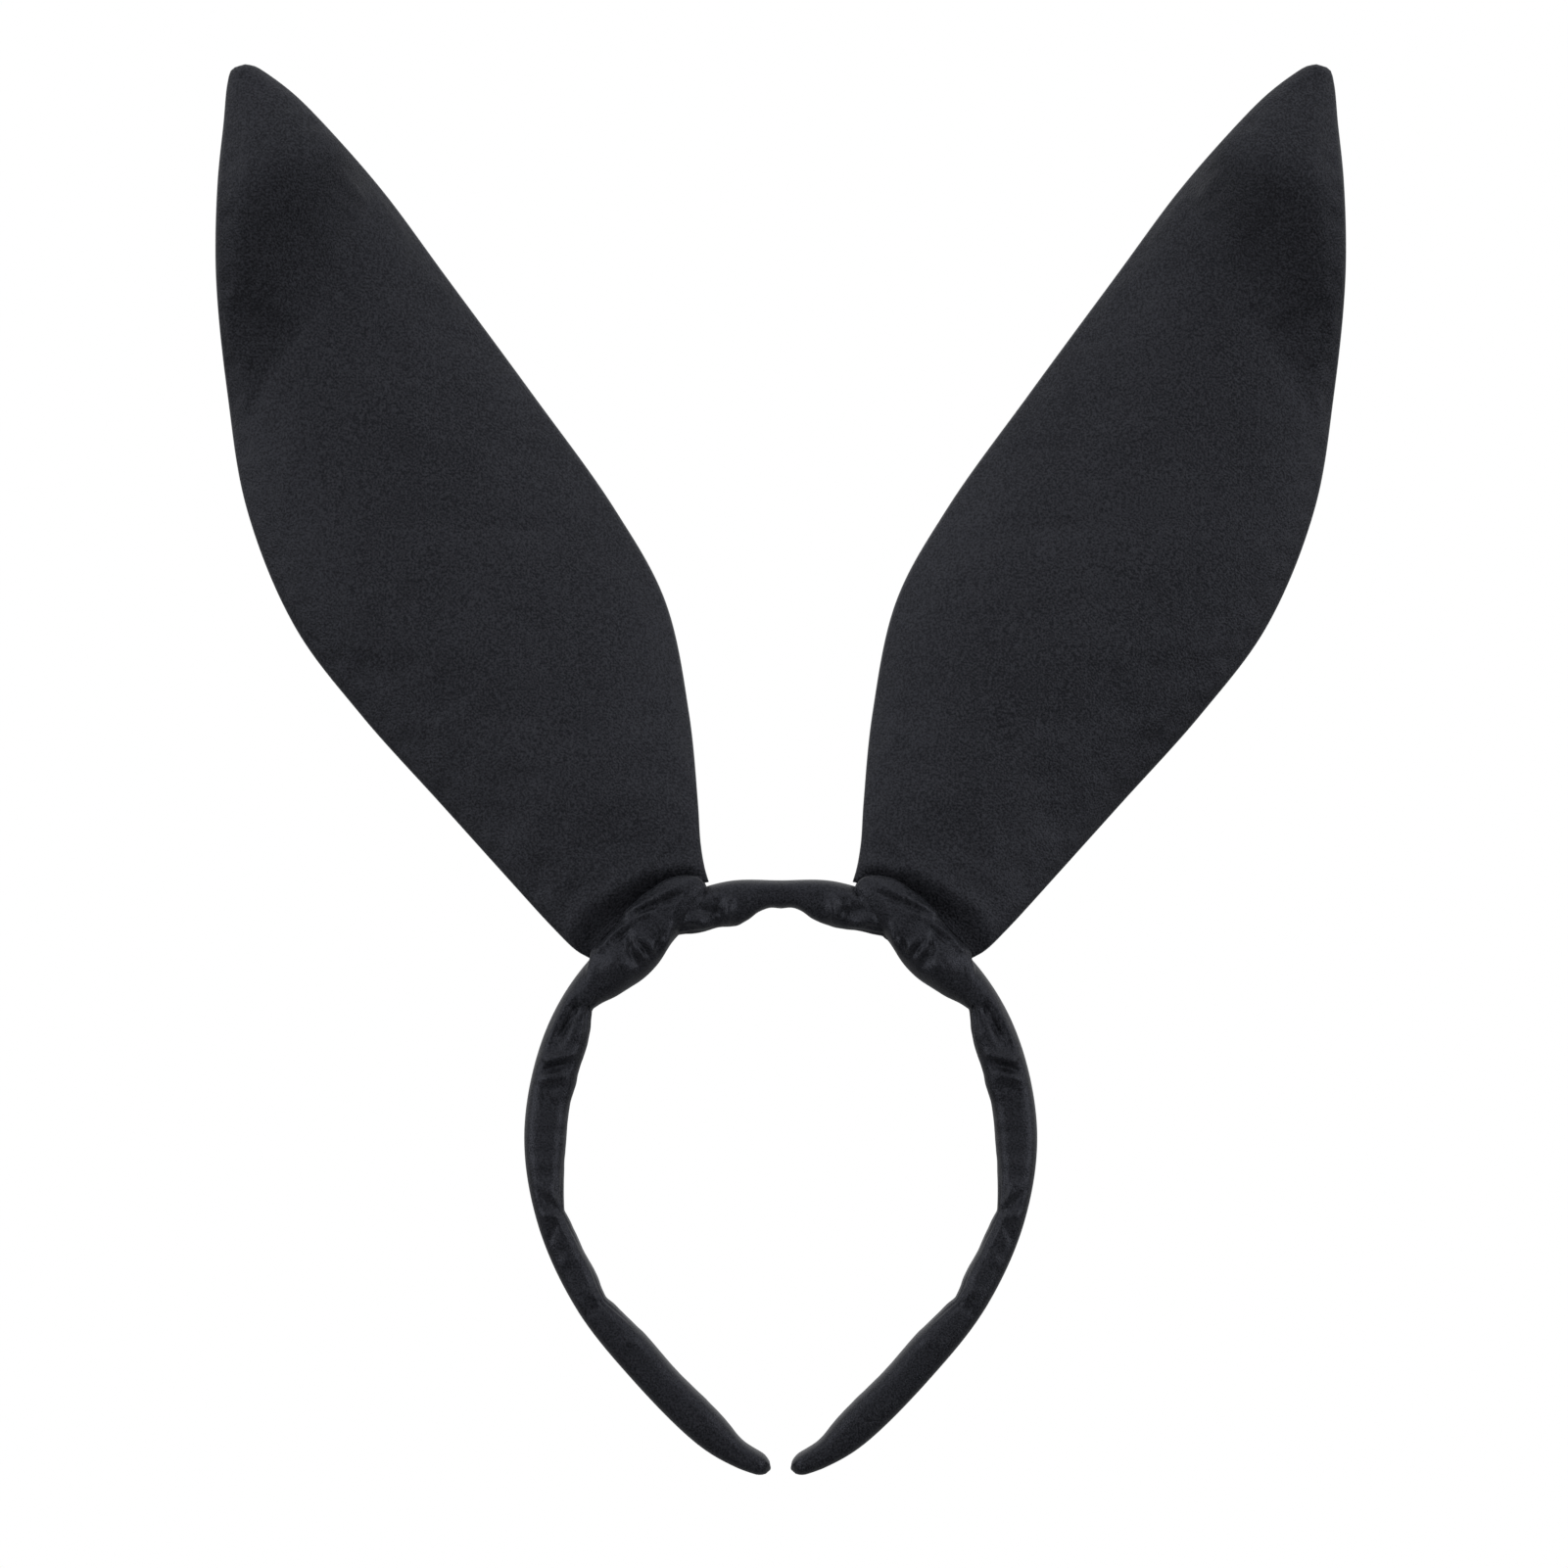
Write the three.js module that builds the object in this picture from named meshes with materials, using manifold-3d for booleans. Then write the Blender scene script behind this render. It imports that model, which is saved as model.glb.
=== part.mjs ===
// Animal ears headband: two wired fabric ears on a satin-covered spring hoop.
// Millimetres, +Z up as worn. X runs across the head and the front faces -Y.
// The origin is the middle of the crown's flat underside, where the hoop rests on the head.
import * as THREE from 'three';
import Module from 'manifold-3d';

const wasm = await Module();
wasm.setup();

const CLEARANCE = 0.3;
const OVERRUN = 2;          // how far a cutting solid runs past an open end
const LEAST_STEP = 0.01;

// Hoop: the left half of the cover's outer line, from the crown down to the leg's tip.
const HOOP_HALF = [
  [0, 7], [-14, 6.6], [-32, -0.4], [-47.2, -12.8], [-57.6, -29.8], [-62.8, -54],
  [-59.7, -76.5], [-50.3, -97.5], [-36.4, -115.2], [-20, -131.4], [-11, -136.7], [-3.2, -139.4],
];
const SEAT_HALF_LENGTH = 6;
const LEG_START = 64;
const LEG_TIP_ROUNDING = 8;
const LEG_TIP_LEAST_SCALE = 0.35;

// Gathered satin cover: how thick it is across the hoop at distances from the crown's middle.
const COVER_THICKNESS = [
  [0, 7], [4, 7.3], [8, 9.6], [13, 10.9], [19, 10.4], [24, 8.7], [29, 7.6], [36, 9], [44, 10.6],
  [52, 10], [58, 9.3], [64, 8.1], [68, 9.6], [74, 11], [84, 11.2], [100, 10.7], [110, 8.8],
  [120, 6.8], [127, 7.8], [134, 8.5], [145, 7.9], [151, 8.5], [160, 9.8], [172, 9.4],
  [188, 9.4], [197, 8.3], [204, 7],
];
const COVER_HALF_DEPTH = 7;
const COVER_CORNER = 3;
const COVER_STEP = 4;
const CHANNEL_STEP_LENGTH = 0.4;

// Flat spring core inside the cover, and the soft caps on its ends.
const CORE_DEPTH = 4;
const CORE_HALF_THICKNESS = 1;
const CORE_HALF_WIDTH = 4;
const CORE_CORNER = 0.5;
const CORE_END = 194;
const CAP_START = 187;
const CAP_END = 197;
const CAP_WALL = 1;
const CAP_CORNER = 1.2;
const CAP_STEP = 2;

// Wire: one loop in each ear, and tails wound round the core under the ear's wrap.
const WIRE_RADIUS = 0.6;
const WIRE_SIDES = 6;
const WIRE_END_OFFSET = 0.75;
const WIRE_FOOT = 2.2;
const COIL_TURNS = 3;
const COIL_PITCH = 1.6;
const COIL_HALF_WIDTH = 5.1;
const COIL_HALF_THICKNESS = 2.1;
const COIL_STEPS_PER_TURN = 12;
const COIL_ROOM = 1.7;
const POST_HOLE_RISE = 1;

// The rings of a wire's rounded end, from its pole: how far out and how wide, in wire radii.
const WIRE_DOME = [[0.94, 0.34], [0.7, 0.71]];

// Tails: `hinge` is where a post stands on the hinge line, `depth` is its length down to the coil,
// and the coil starts at distance `coil` along the hoop and winds in `direction`.
const INNER_TAIL = { hinge: 12, depth: 7.05, coil: -22.45, direction: 1 };
const OUTER_TAIL = { hinge: -12, depth: 5.95, coil: -47.4, direction: -1 };

// Wrap: the satin tab round the hoop at each ear's base.
const WRAP_START = 21;
const WRAP_END = 54;
const WRAP_WALL = 1;
const WRAP_CROWN_RISE = 1.1;
const WRAP_STEP = 3;

// Ear: the hinge line on top of the wrap, and the left ear's outline above it.
const EAR_HINGE = new THREE.Vector3(-35.3, 0, 1.6);
const EAR_HINGE_ANGLE = THREE.MathUtils.degToRad(34.1);
const EAR_OUTLINE = [
  [-52.8, -7.8], [-67.4, 7.9], [-84, 26.2], [-103.4, 47.8], [-119.6, 69.4], [-131.4, 98.2],
  [-136.2, 127], [-138.4, 155], [-137.4, 180], [-136.2, 193], [-135.3, 203], [-132.6, 206.6],
  [-128.6, 206.4], [-119, 199.4], [-104.6, 184.6], [-82.6, 155.8], [-61.4, 127], [-40.8, 98.2],
  [-29, 76.6], [-22.5, 47.8], [-20.3, 26.2], [-19.5, 14.7],
];
const EAR_OUTLINE_STEPS = 4;
const EAR_HALF_THICKNESS = 2.3;
const PANEL_THICKNESS = 0.8;
const SEAM_HALF_GAP = 0.15;
const POCKET_BOTTOM = 2.5;
const POCKET_MOUTH = 6;
const WIRE_INSET = 1.8;
const FOAM_INSET = 3;
const FOAM_HALF_THICKNESS = 1.2;
const FOAM_BOTTOM = 5;
const FOAM_TOP = 197;
const FOAM_HALF_BASE = 9;

const FINISHES = {
  satin: { color: 0x17181b, roughness: 0.42, metalness: 0 },
  earFabric: { color: 0x1b1c20, roughness: 0.75, metalness: 0 },
  foam: { color: 0x232326, roughness: 0.95, metalness: 0 },
  springPlastic: { color: 0x101012, roughness: 0.5, metalness: 0 },
  steelWire: { color: 0x8d9094, roughness: 0.35, metalness: 1 },
  softCap: { color: 0x141416, roughness: 0.8, metalness: 0 },
};

// The hoop's whole outer line, from the left leg's tip to the right leg's tip.
function makeHoopLine() {
  const left = HOOP_HALF.map(([x, z]) => new THREE.Vector3(x, 0, z));
  const right = left.slice(1).map((p) => new THREE.Vector3(-p.x, 0, p.z));
  const line = new THREE.CatmullRomCurve3([...left.reverse(), ...right], false, 'centripetal');
  line.arcLengthDivisions = 1000;
  return line;
}

const hoopLine = makeHoopLine();
const hoopLength = hoopLine.getLength();
const legTip = hoopLength / 2;

// A point of the hoop's section: `along` is the signed distance from the crown's middle along
// the outer line, `inward` is the distance from the outer line towards the head.
function hoopPoint(along, inward, y) {
  const t = THREE.MathUtils.clamp(0.5 + along / hoopLength, 0, 1);
  const point = hoopLine.getPointAt(t);
  const tangent = hoopLine.getTangentAt(t);
  return new THREE.Vector3(point.x + tangent.z * inward, y, point.z - tangent.x * inward);
}

function interpolate(stations, distance) {
  const last = stations.length - 1;
  if (distance >= stations[last][0]) return stations[last][1];
  const next = stations.findIndex(([d]) => d > distance);
  const [d0, v0] = stations[next - 1];
  const [d1, v1] = stations[next];
  return THREE.MathUtils.lerp(v0, v1, THREE.MathUtils.smoothstep(distance, d0, d1));
}

// The cover's thickness. Over the seat it is whatever brings the underside to z = 0.
function coverThickness(along) {
  const distance = Math.abs(along);
  if (distance > SEAT_HALF_LENGTH) return interpolate(COVER_THICKNESS, distance);
  const outer = hoopPoint(along, 0, 0);
  const drop = outer.z - hoopPoint(along, 1, 0).z;
  return outer.z / drop;
}

// A rectangle with rounded corners in a hoop section, as [inward, y] pairs.
function roundedBox(near, far, halfDepth, corner) {
  const r = Math.min(corner, (far - near) / 2 - 0.05);
  const centres = [
    [far - r, halfDepth - r, 0], [near + r, halfDepth - r, 1],
    [near + r, r - halfDepth, 2], [far - r, r - halfDepth, 3],
  ];
  const loop = [];
  for (const [inward, y, quarter] of centres) {
    for (let step = 0; step <= 2; step += 1) {
      const angle = (quarter + step / 2) * Math.PI / 2;
      loop.push([inward + r * Math.cos(angle), y + r * Math.sin(angle)]);
    }
  }
  return loop;
}

function hoopRing(along, loop) {
  return loop.map(([inward, y]) => hoopPoint(along, inward, y));
}

// Distances along the hoop from one end to the other, no further apart than `step`.
function stations(from, to, step) {
  const count = Math.ceil(Math.abs(to - from) / step);
  return Array.from({ length: count + 1 }, (_, i) => THREE.MathUtils.lerp(from, to, i / count));
}

function indexedGeometry(points, triangles) {
  const geometry = new THREE.BufferGeometry();
  const coordinates = points.flatMap((p) => p.toArray());
  geometry.setAttribute('position', new THREE.Float32BufferAttribute(coordinates, 3));
  geometry.setIndex(triangles.flat());
  return geometry;
}

// A closed solid through rings of equal length, with flat convex ends.
function loft(rings) {
  const sides = rings[0].length;
  const triangles = [];
  for (let ring = 0; ring < rings.length - 1; ring += 1) {
    for (let i = 0; i < sides; i += 1) {
      const a = ring * sides + i;
      const b = ring * sides + (i + 1) % sides;
      triangles.push([a, b, b + sides], [a, b + sides, a + sides]);
    }
  }
  const end = (rings.length - 1) * sides;
  for (let i = 1; i < sides - 1; i += 1) {
    triangles.push([0, i + 1, i], [end, end + i, end + i + 1]);
  }
  return facingOut(indexedGeometry(rings.flat(), triangles));
}

// Turns the faces outwards if the signed volume is negative.
function facingOut(geometry) {
  const position = geometry.getAttribute('position');
  const index = geometry.getIndex().array;
  const [a, b, c] = [new THREE.Vector3(), new THREE.Vector3(), new THREE.Vector3()];
  let volume = 0;
  for (let i = 0; i < index.length; i += 3) {
    a.fromBufferAttribute(position, index[i]);
    b.fromBufferAttribute(position, index[i + 1]);
    c.fromBufferAttribute(position, index[i + 2]);
    volume += a.dot(b.cross(c));
  }
  if (volume < 0) {
    for (let i = 0; i < index.length; i += 3) [index[i], index[i + 1]] = [index[i + 1], index[i]];
  }
  return geometry;
}

// A round rod along a list of points, with hemispherical ends.
function rod(points, radius) {
  const rings = [];
  const normal = new THREE.Vector3(0, 1, 0);
  const last = points.length - 1;
  for (let i = 0; i <= last; i += 1) {
    const tangent = points[Math.min(i + 1, last)].clone().sub(points[Math.max(i - 1, 0)]).normalize();
    normal.addScaledVector(tangent, -normal.dot(tangent)).normalize();
    const across = tangent.clone().cross(normal);
    const ring = (offset, scale) => Array.from({ length: WIRE_SIDES }, (_, k) => {
      const angle = k / WIRE_SIDES * 2 * Math.PI;
      return points[i].clone().addScaledVector(tangent, offset)
        .addScaledVector(normal, radius * scale * Math.cos(angle))
        .addScaledVector(across, radius * scale * Math.sin(angle));
    });
    const dome = WIRE_DOME.map(([out, width]) => ring((i === 0 ? -out : out) * radius, width));
    if (i === 0) rings.push(...dome);
    rings.push(ring(0, 1));
    if (i === last) rings.push(...dome.reverse());
  }
  return loft(rings);
}

// A flat outline in the XZ plane made into a plate between two depths.
function plate(outline, yFront, yBack) {
  const shape = new THREE.Shape(outline.map((p) => new THREE.Vector2(p.x, p.z)));
  const geometry = new THREE.ExtrudeGeometry(shape, { depth: yBack - yFront, bevelEnabled: false });
  geometry.rotateX(Math.PI / 2);
  geometry.translate(0, yBack, 0);
  return geometry;
}

// Booleans: to a solid with shared vertices, and back.
function solid(geometry) {
  const source = (geometry.index ? geometry.toNonIndexed() : geometry).getAttribute('position');
  const ids = new Map();
  const positions = [];
  const triangles = [];
  for (let i = 0; i < source.count; i += 1) {
    const p = [source.getX(i), source.getY(i), source.getZ(i)];
    const key = p.map((v) => v.toFixed(4)).join();
    if (!ids.has(key)) {
      ids.set(key, ids.size);
      positions.push(...p);
    }
    triangles.push(ids.get(key));
  }
  const vertProperties = new Float32Array(positions);
  const triVerts = new Uint32Array(triangles);
  return new wasm.Manifold(new wasm.Mesh({ numProp: 3, vertProperties, triVerts }));
}

function geometryOf(manifold) {
  const { vertProperties, triVerts } = manifold.getMesh();
  const geometry = new THREE.BufferGeometry();
  geometry.setAttribute('position', new THREE.BufferAttribute(vertProperties, 3));
  geometry.setIndex(new THREE.BufferAttribute(triVerts, 1));
  return geometry;
}

function cut(body, ...tools) {
  const result = tools.reduce((rest, tool) => rest.subtract(solid(tool)), solid(body));
  return geometryOf(result);
}

// The right-hand copy of a left-hand piece.
function mirrored(geometry) {
  const copy = geometry.clone().scale(-1, 1, 1);
  if (!copy.index) copy.setIndex(Array.from({ length: copy.getAttribute('position').count }, (_, i) => i));
  return facingOut(copy);
}

// Ear directions: along the hinge line, and out of the hoop at right angles to it.
const hingeAlong = new THREE.Vector3(Math.cos(EAR_HINGE_ANGLE), 0, Math.sin(EAR_HINGE_ANGLE));
const hingeOut = new THREE.Vector3(-hingeAlong.z, 0, hingeAlong.x);

function hingePoint(along, out) {
  return EAR_HINGE.clone().addScaledVector(hingeAlong, along).addScaledVector(hingeOut, out);
}

// Stretches of the hoop where the cover's channel needs extra room, for a wire coil or an end cap.
function channelZones() {
  const coils = [INNER_TAIL, OUTER_TAIL].map((tail) => {
    const ends = [-tail.coil, -(tail.coil + tail.direction * COIL_TURNS * COIL_PITCH)];
    const margin = WIRE_RADIUS + CLEARANCE;
    return { from: Math.min(...ends) - margin, to: Math.max(...ends) + margin, room: COIL_ROOM };
  });
  const cap = { from: CAP_START - CLEARANCE, to: CAP_END + 1, room: CAP_WALL + CLEARANCE };
  return [...coils, cap];
}

function channelLoop(along) {
  const zone = channelZones().find(({ from, to }) => Math.abs(along) >= from && Math.abs(along) <= to);
  const thickness = CORE_HALF_THICKNESS + CLEARANCE + (zone ? zone.room : 0);
  const width = CORE_HALF_WIDTH + CLEARANCE + (zone ? zone.room : 0);
  return roundedBox(CORE_DEPTH - thickness, CORE_DEPTH + thickness, width, COVER_CORNER / 2);
}

// Rings for the channel: evenly spaced, with a pair at each end of a wider stretch.
function channelStations(from, to) {
  const edges = channelZones().flatMap((zone) => [
    zone.from - CHANNEL_STEP_LENGTH, zone.from, zone.to, zone.to + CHANNEL_STEP_LENGTH,
  ]);
  const signed = edges.flatMap((edge) => [-edge, edge]);
  const inside = signed.filter((edge) => edge > Math.min(from, to) && edge < Math.max(from, to));
  const sorted = [...stations(from, to, COVER_STEP), ...inside].sort((a, b) => a - b);
  return sorted.filter((along, i) => i === 0 || along - sorted[i - 1] > LEAST_STEP);
}

// The gathered satin cover over one stretch of the hoop, open wherever the stretch is cut.
function makeCover(from, to) {
  const closedTip = Math.abs(to) >= legTip;
  const outer = stations(from, to, COVER_STEP).map((along) => {
    const fromTip = legTip - Math.abs(along);
    const roundness = Math.sqrt(1 - (1 - Math.min(fromTip / LEG_TIP_ROUNDING, 1)) ** 2);
    const scale = closedTip ? Math.max(roundness, LEG_TIP_LEAST_SCALE) : 1;
    const thickness = coverThickness(along);
    const middle = thickness / 2;
    const loop = roundedBox(0, thickness, COVER_HALF_DEPTH, COVER_CORNER);
    return hoopRing(along, loop.map(([inward, y]) => [middle + (inward - middle) * scale, y * scale]));
  });
  const past = from < to ? OVERRUN : -OVERRUN;
  const channelEnd = closedTip ? -(CAP_END + CLEARANCE) : to + past;
  const places = channelStations(from - past, channelEnd);
  const channel = places.map((along) => hoopRing(along, channelLoop(along)));
  return cut(loft(outer), loft(channel));
}

function makeCore(from, to) {
  const near = CORE_DEPTH - CORE_HALF_THICKNESS;
  const far = CORE_DEPTH + CORE_HALF_THICKNESS;
  const loop = roundedBox(near, far, CORE_HALF_WIDTH, CORE_CORNER);
  return loft(stations(from, to, COVER_STEP).map((along) => hoopRing(along, loop)));
}

// A soft cap pushed over the end of the left leg's core.
function makeEndCap() {
  const socketHalf = CORE_HALF_THICKNESS + CLEARANCE;
  const socketWidth = CORE_HALF_WIDTH + CLEARANCE;
  const near = CORE_DEPTH - socketHalf;
  const far = CORE_DEPTH + socketHalf;
  const outerLoop = roundedBox(near - CAP_WALL, far + CAP_WALL, socketWidth + CAP_WALL, CAP_CORNER);
  const socketLoop = roundedBox(near, far, socketWidth, CORE_CORNER);
  const outer = stations(-CAP_START, -CAP_END, CAP_STEP).map((along) => hoopRing(along, outerLoop));
  const socketPlaces = stations(OVERRUN - CAP_START, -(CORE_END + CLEARANCE), CAP_STEP);
  const socket = socketPlaces.map((along) => hoopRing(along, socketLoop));
  return cut(loft(outer), loft(socket));
}

// The wire's tail: a post under the hinge line, then turns wound round the flat core.
function tailPath(tail) {
  const points = [hingePoint(tail.hinge, -WIRE_END_OFFSET), hingePoint(tail.hinge, -tail.depth)];
  const steps = COIL_TURNS * COIL_STEPS_PER_TURN;
  for (let step = 1; step <= steps; step += 1) {
    const angle = step / COIL_STEPS_PER_TURN * 2 * Math.PI;
    const [sine, cosine] = [Math.sin(angle), Math.cos(angle)];
    const along = tail.coil + tail.direction * COIL_PITCH * step / COIL_STEPS_PER_TURN;
    const inward = CORE_DEPTH - COIL_HALF_THICKNESS * Math.sign(cosine) * Math.sqrt(Math.abs(cosine));
    const y = COIL_HALF_WIDTH * Math.sign(sine) * Math.sqrt(Math.abs(sine));
    points.push(hoopPoint(along, inward, y));
  }
  return points;
}

// A round hole for the tail's post, through the wrap and the cover below it.
function postHole(tail) {
  const points = [hingePoint(tail.hinge, POST_HOLE_RISE), hingePoint(tail.hinge, -tail.depth)];
  return rod(points, WIRE_RADIUS + 2 * CLEARANCE);
}

// The wrap round the covered hoop, thickest on top where the ear stands on it.
function makeWrap() {
  const outer = [];
  const inner = [];
  const depth = COVER_HALF_DEPTH + CLEARANCE;
  const corner = COVER_CORNER + WRAP_WALL;
  for (const along of stations(-WRAP_START, -WRAP_END, WRAP_STEP)) {
    const middle = (-along - WRAP_START) / (WRAP_END - WRAP_START);
    const rise = CLEARANCE + WRAP_WALL + WRAP_CROWN_RISE * Math.sin(Math.PI * middle);
    const far = coverThickness(along) + CLEARANCE + WRAP_WALL;
    outer.push(hoopRing(along, roundedBox(-rise, far, depth + WRAP_WALL, corner)));
  }
  for (const along of stations(OVERRUN - WRAP_START, -(WRAP_END + OVERRUN), WRAP_STEP)) {
    const far = coverThickness(along) + CLEARANCE;
    inner.push(hoopRing(along, roundedBox(-CLEARANCE, far, depth, COVER_CORNER)));
  }
  return cut(loft(outer), loft(inner), postHole(INNER_TAIL), postHole(OUTER_TAIL));
}

// The left ear's outline moved in by a distance, as points from the base's outer corner round the
// tip to its inner corner. The base between its two ends is a straight line.
function earOutline(inset) {
  const controls = EAR_OUTLINE.map(([x, z]) => new THREE.Vector3(x, 0, z));
  const curve = new THREE.CatmullRomCurve3(controls, false, 'centripetal');
  const steps = (EAR_OUTLINE.length - 1) * EAR_OUTLINE_STEPS;
  return Array.from({ length: steps + 1 }, (_, i) => {
    const point = curve.getPoint(i / steps);
    const tangent = curve.getTangent(i / steps);
    return new THREE.Vector3(point.x + tangent.z * inset, 0, point.z - tangent.x * inset);
  });
}

function heightAboveHinge(point) {
  return point.clone().sub(EAR_HINGE).dot(hingeOut);
}

// One fabric panel: a thin sheet with a rim turned in at the seam, open at the ear's base.
function makeEarPanel(side) {
  const face = side * EAR_HALF_THICKNESS;
  const seam = side * SEAM_HALF_GAP;
  const inside = side * (EAR_HALF_THICKNESS - PANEL_THICKNESS);
  const sheet = plate(earOutline(0), Math.min(face, seam), Math.max(face, seam));
  const pocket = earOutline(PANEL_THICKNESS).filter((p) => heightAboveHinge(p) > POCKET_BOTTOM);
  const corners = [pocket[pocket.length - 1], pocket[0]];
  const mouth = corners.map((p) => p.clone().addScaledVector(hingeOut, -POCKET_MOUTH));
  return cut(sheet, plate([...pocket, ...mouth], Math.min(inside, -face), Math.max(inside, -face)));
}

function makeEarFoam() {
  const inFoam = (p) => heightAboveHinge(p) > 2 * FOAM_BOTTOM && p.z < FOAM_TOP;
  const side = earOutline(FOAM_INSET).filter(inFoam);
  const bottom = [hingePoint(FOAM_HALF_BASE, FOAM_BOTTOM), hingePoint(-FOAM_HALF_BASE, FOAM_BOTTOM)];
  return plate([...side, ...bottom], -FOAM_HALF_THICKNESS, FOAM_HALF_THICKNESS);
}

// The wire loop just inside the ear's edge, with both ends standing on the hinge line.
function makeEarWire() {
  const side = earOutline(WIRE_INSET).filter((p) => heightAboveHinge(p) > 2 * FOAM_BOTTOM);
  const foot = (tail) => [WIRE_END_OFFSET, WIRE_FOOT].map((out) => hingePoint(tail.hinge, out));
  return rod([...foot(OUTER_TAIL), ...side, ...foot(INNER_TAIL).reverse()], WIRE_RADIUS);
}

const headband = new THREE.Group();
headband.name = 'animal_ears_headband';

function add(parent, name, geometry, finish) {
  const material = new THREE.MeshStandardMaterial({ ...FINISHES[finish], name: finish });
  const mesh = new THREE.Mesh(geometry, material);
  mesh.name = name;
  parent.add(mesh);
}

// A left-hand piece and its mirror image on the right.
function addPair(parent, name, geometry, finish) {
  add(parent, `left_${name}`, geometry, finish);
  add(parent, `right_${name}`, mirrored(geometry), finish);
}

function addCrown() {
  const crown = new THREE.Group();
  const end = LEG_START - CLEARANCE / 2;
  add(crown, 'crown_core', makeCore(-end, end), 'springPlastic');
  const holes = [postHole(INNER_TAIL), postHole(OUTER_TAIL)];
  const cover = cut(makeCover(-end, end), ...holes, ...holes.map(mirrored));
  add(crown, 'crown_cover', cover, 'satin');
  addPair(crown, 'ear_wrap', makeWrap(), 'satin');
  addPair(crown, 'inner_wire_coil', rod(tailPath(INNER_TAIL), WIRE_RADIUS), 'steelWire');
  addPair(crown, 'outer_wire_coil', rod(tailPath(OUTER_TAIL), WIRE_RADIUS), 'steelWire');
  headband.add(crown);
}

function addLegs() {
  const legs = new THREE.Group();
  const start = -(LEG_START + CLEARANCE / 2);
  addPair(legs, 'leg_core', makeCore(start, -CORE_END), 'springPlastic');
  addPair(legs, 'leg_cover', makeCover(start, -legTip), 'satin');
  addPair(legs, 'end_cap', makeEndCap(), 'softCap');
  headband.add(legs);
}

function addEars() {
  const ears = new THREE.Group();
  addPair(ears, 'ear_front', makeEarPanel(-1), 'earFabric');
  addPair(ears, 'ear_back', makeEarPanel(1), 'earFabric');
  addPair(ears, 'ear_foam', makeEarFoam(), 'foam');
  addPair(ears, 'ear_wire', makeEarWire(), 'steelWire');
  headband.add(ears);
}

addCrown();
addLegs();
addEars();

export default headband;
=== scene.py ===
"""Animal ears headband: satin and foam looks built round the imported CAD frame. Metres, +Z up."""
import math

import bpy
import numpy as np
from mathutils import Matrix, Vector


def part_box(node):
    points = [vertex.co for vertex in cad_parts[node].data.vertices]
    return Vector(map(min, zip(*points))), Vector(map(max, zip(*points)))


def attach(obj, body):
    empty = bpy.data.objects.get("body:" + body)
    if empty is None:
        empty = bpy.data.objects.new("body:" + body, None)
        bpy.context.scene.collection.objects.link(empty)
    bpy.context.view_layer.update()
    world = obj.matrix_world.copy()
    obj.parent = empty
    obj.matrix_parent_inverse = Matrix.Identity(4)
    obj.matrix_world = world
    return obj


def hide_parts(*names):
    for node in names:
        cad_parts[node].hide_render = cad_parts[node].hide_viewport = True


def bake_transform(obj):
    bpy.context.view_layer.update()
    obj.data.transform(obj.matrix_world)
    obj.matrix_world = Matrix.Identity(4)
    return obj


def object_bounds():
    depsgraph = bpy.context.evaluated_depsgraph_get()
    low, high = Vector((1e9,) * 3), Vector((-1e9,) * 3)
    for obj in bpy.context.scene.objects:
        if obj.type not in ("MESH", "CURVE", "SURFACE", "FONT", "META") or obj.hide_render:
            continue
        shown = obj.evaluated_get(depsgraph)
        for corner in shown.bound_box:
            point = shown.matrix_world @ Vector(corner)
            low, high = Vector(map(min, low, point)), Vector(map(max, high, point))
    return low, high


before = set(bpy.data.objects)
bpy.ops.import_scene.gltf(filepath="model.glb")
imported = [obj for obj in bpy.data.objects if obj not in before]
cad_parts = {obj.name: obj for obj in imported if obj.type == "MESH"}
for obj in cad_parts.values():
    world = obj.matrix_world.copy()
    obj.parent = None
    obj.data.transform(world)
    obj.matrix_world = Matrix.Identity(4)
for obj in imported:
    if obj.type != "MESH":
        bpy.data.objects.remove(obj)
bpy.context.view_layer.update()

MM = 0.001
SIDES = {"left": 1.0, "right": -1.0}  # the left half is modelled, and the right half is its mirror image
TINY = 1e-9
FINE_STEPS = 40  # points of a curve from one given point to the next
COARSE_STEPS = 12

# ---- the hoop's cover, millimetres
# The hoop cover's outer line, left half, from the crown's middle to the leg's tip.
HOOP_HALF = [
    (0, 7), (-14, 6.6), (-32, -0.4), (-47.2, -12.8), (-57.6, -29.8), (-62.8, -54),
    (-59.7, -76.5), (-50.3, -97.5), (-36.4, -115.2), (-20, -131.4), (-11, -136.7), (-3.2, -139.4),
]
COVER_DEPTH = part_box("crown_cover")[1].y / MM  # half the cover's depth, front to back
# How thick the gathered cover is, at distances from the crown's middle along the outer line. The
# cloth is stitched down between one stretch and the next, so the curve has a corner there.
COVER_STRETCHES = [
    [(0, 7.0), (2.6, 6.7), (5, 7.6), (8, 9.6), (12, 10.9), (20, 10.6), (26, 9.7), (30, 8.5)],
    [(30, 8.5), (33, 9.5), (38, 11.2), (44, 12.2), (50, 11.6), (56, 10.1), (62.7, 7.9)],
    [(62.7, 7.9), (65, 8.7), (68, 9.8), (73, 10.8), (84, 10.8), (100, 10.3), (110, 8.9), (120, 6.7)],
    [(120, 6.7), (124, 7.5), (130, 8.3), (138, 8.4), (146, 7.5)],
    [(146, 7.5), (151, 8.5), (160, 9.6), (172, 9.4), (186, 9.4), (193, 8.4), (200, 6.4), (208.3, 4.6)],
]
CLOTH_THICKNESS = 0.45
COVER_STEP = 0.75  # from one ring of the cover's points to the next
COVER_AROUND = 96  # points in a ring
COVER_ROUNDNESS = 2.3  # the section's superellipse exponent
EXTRA_SQUARENESS = 0.9  # how much squarer the section is down the leg and over the crown
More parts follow.
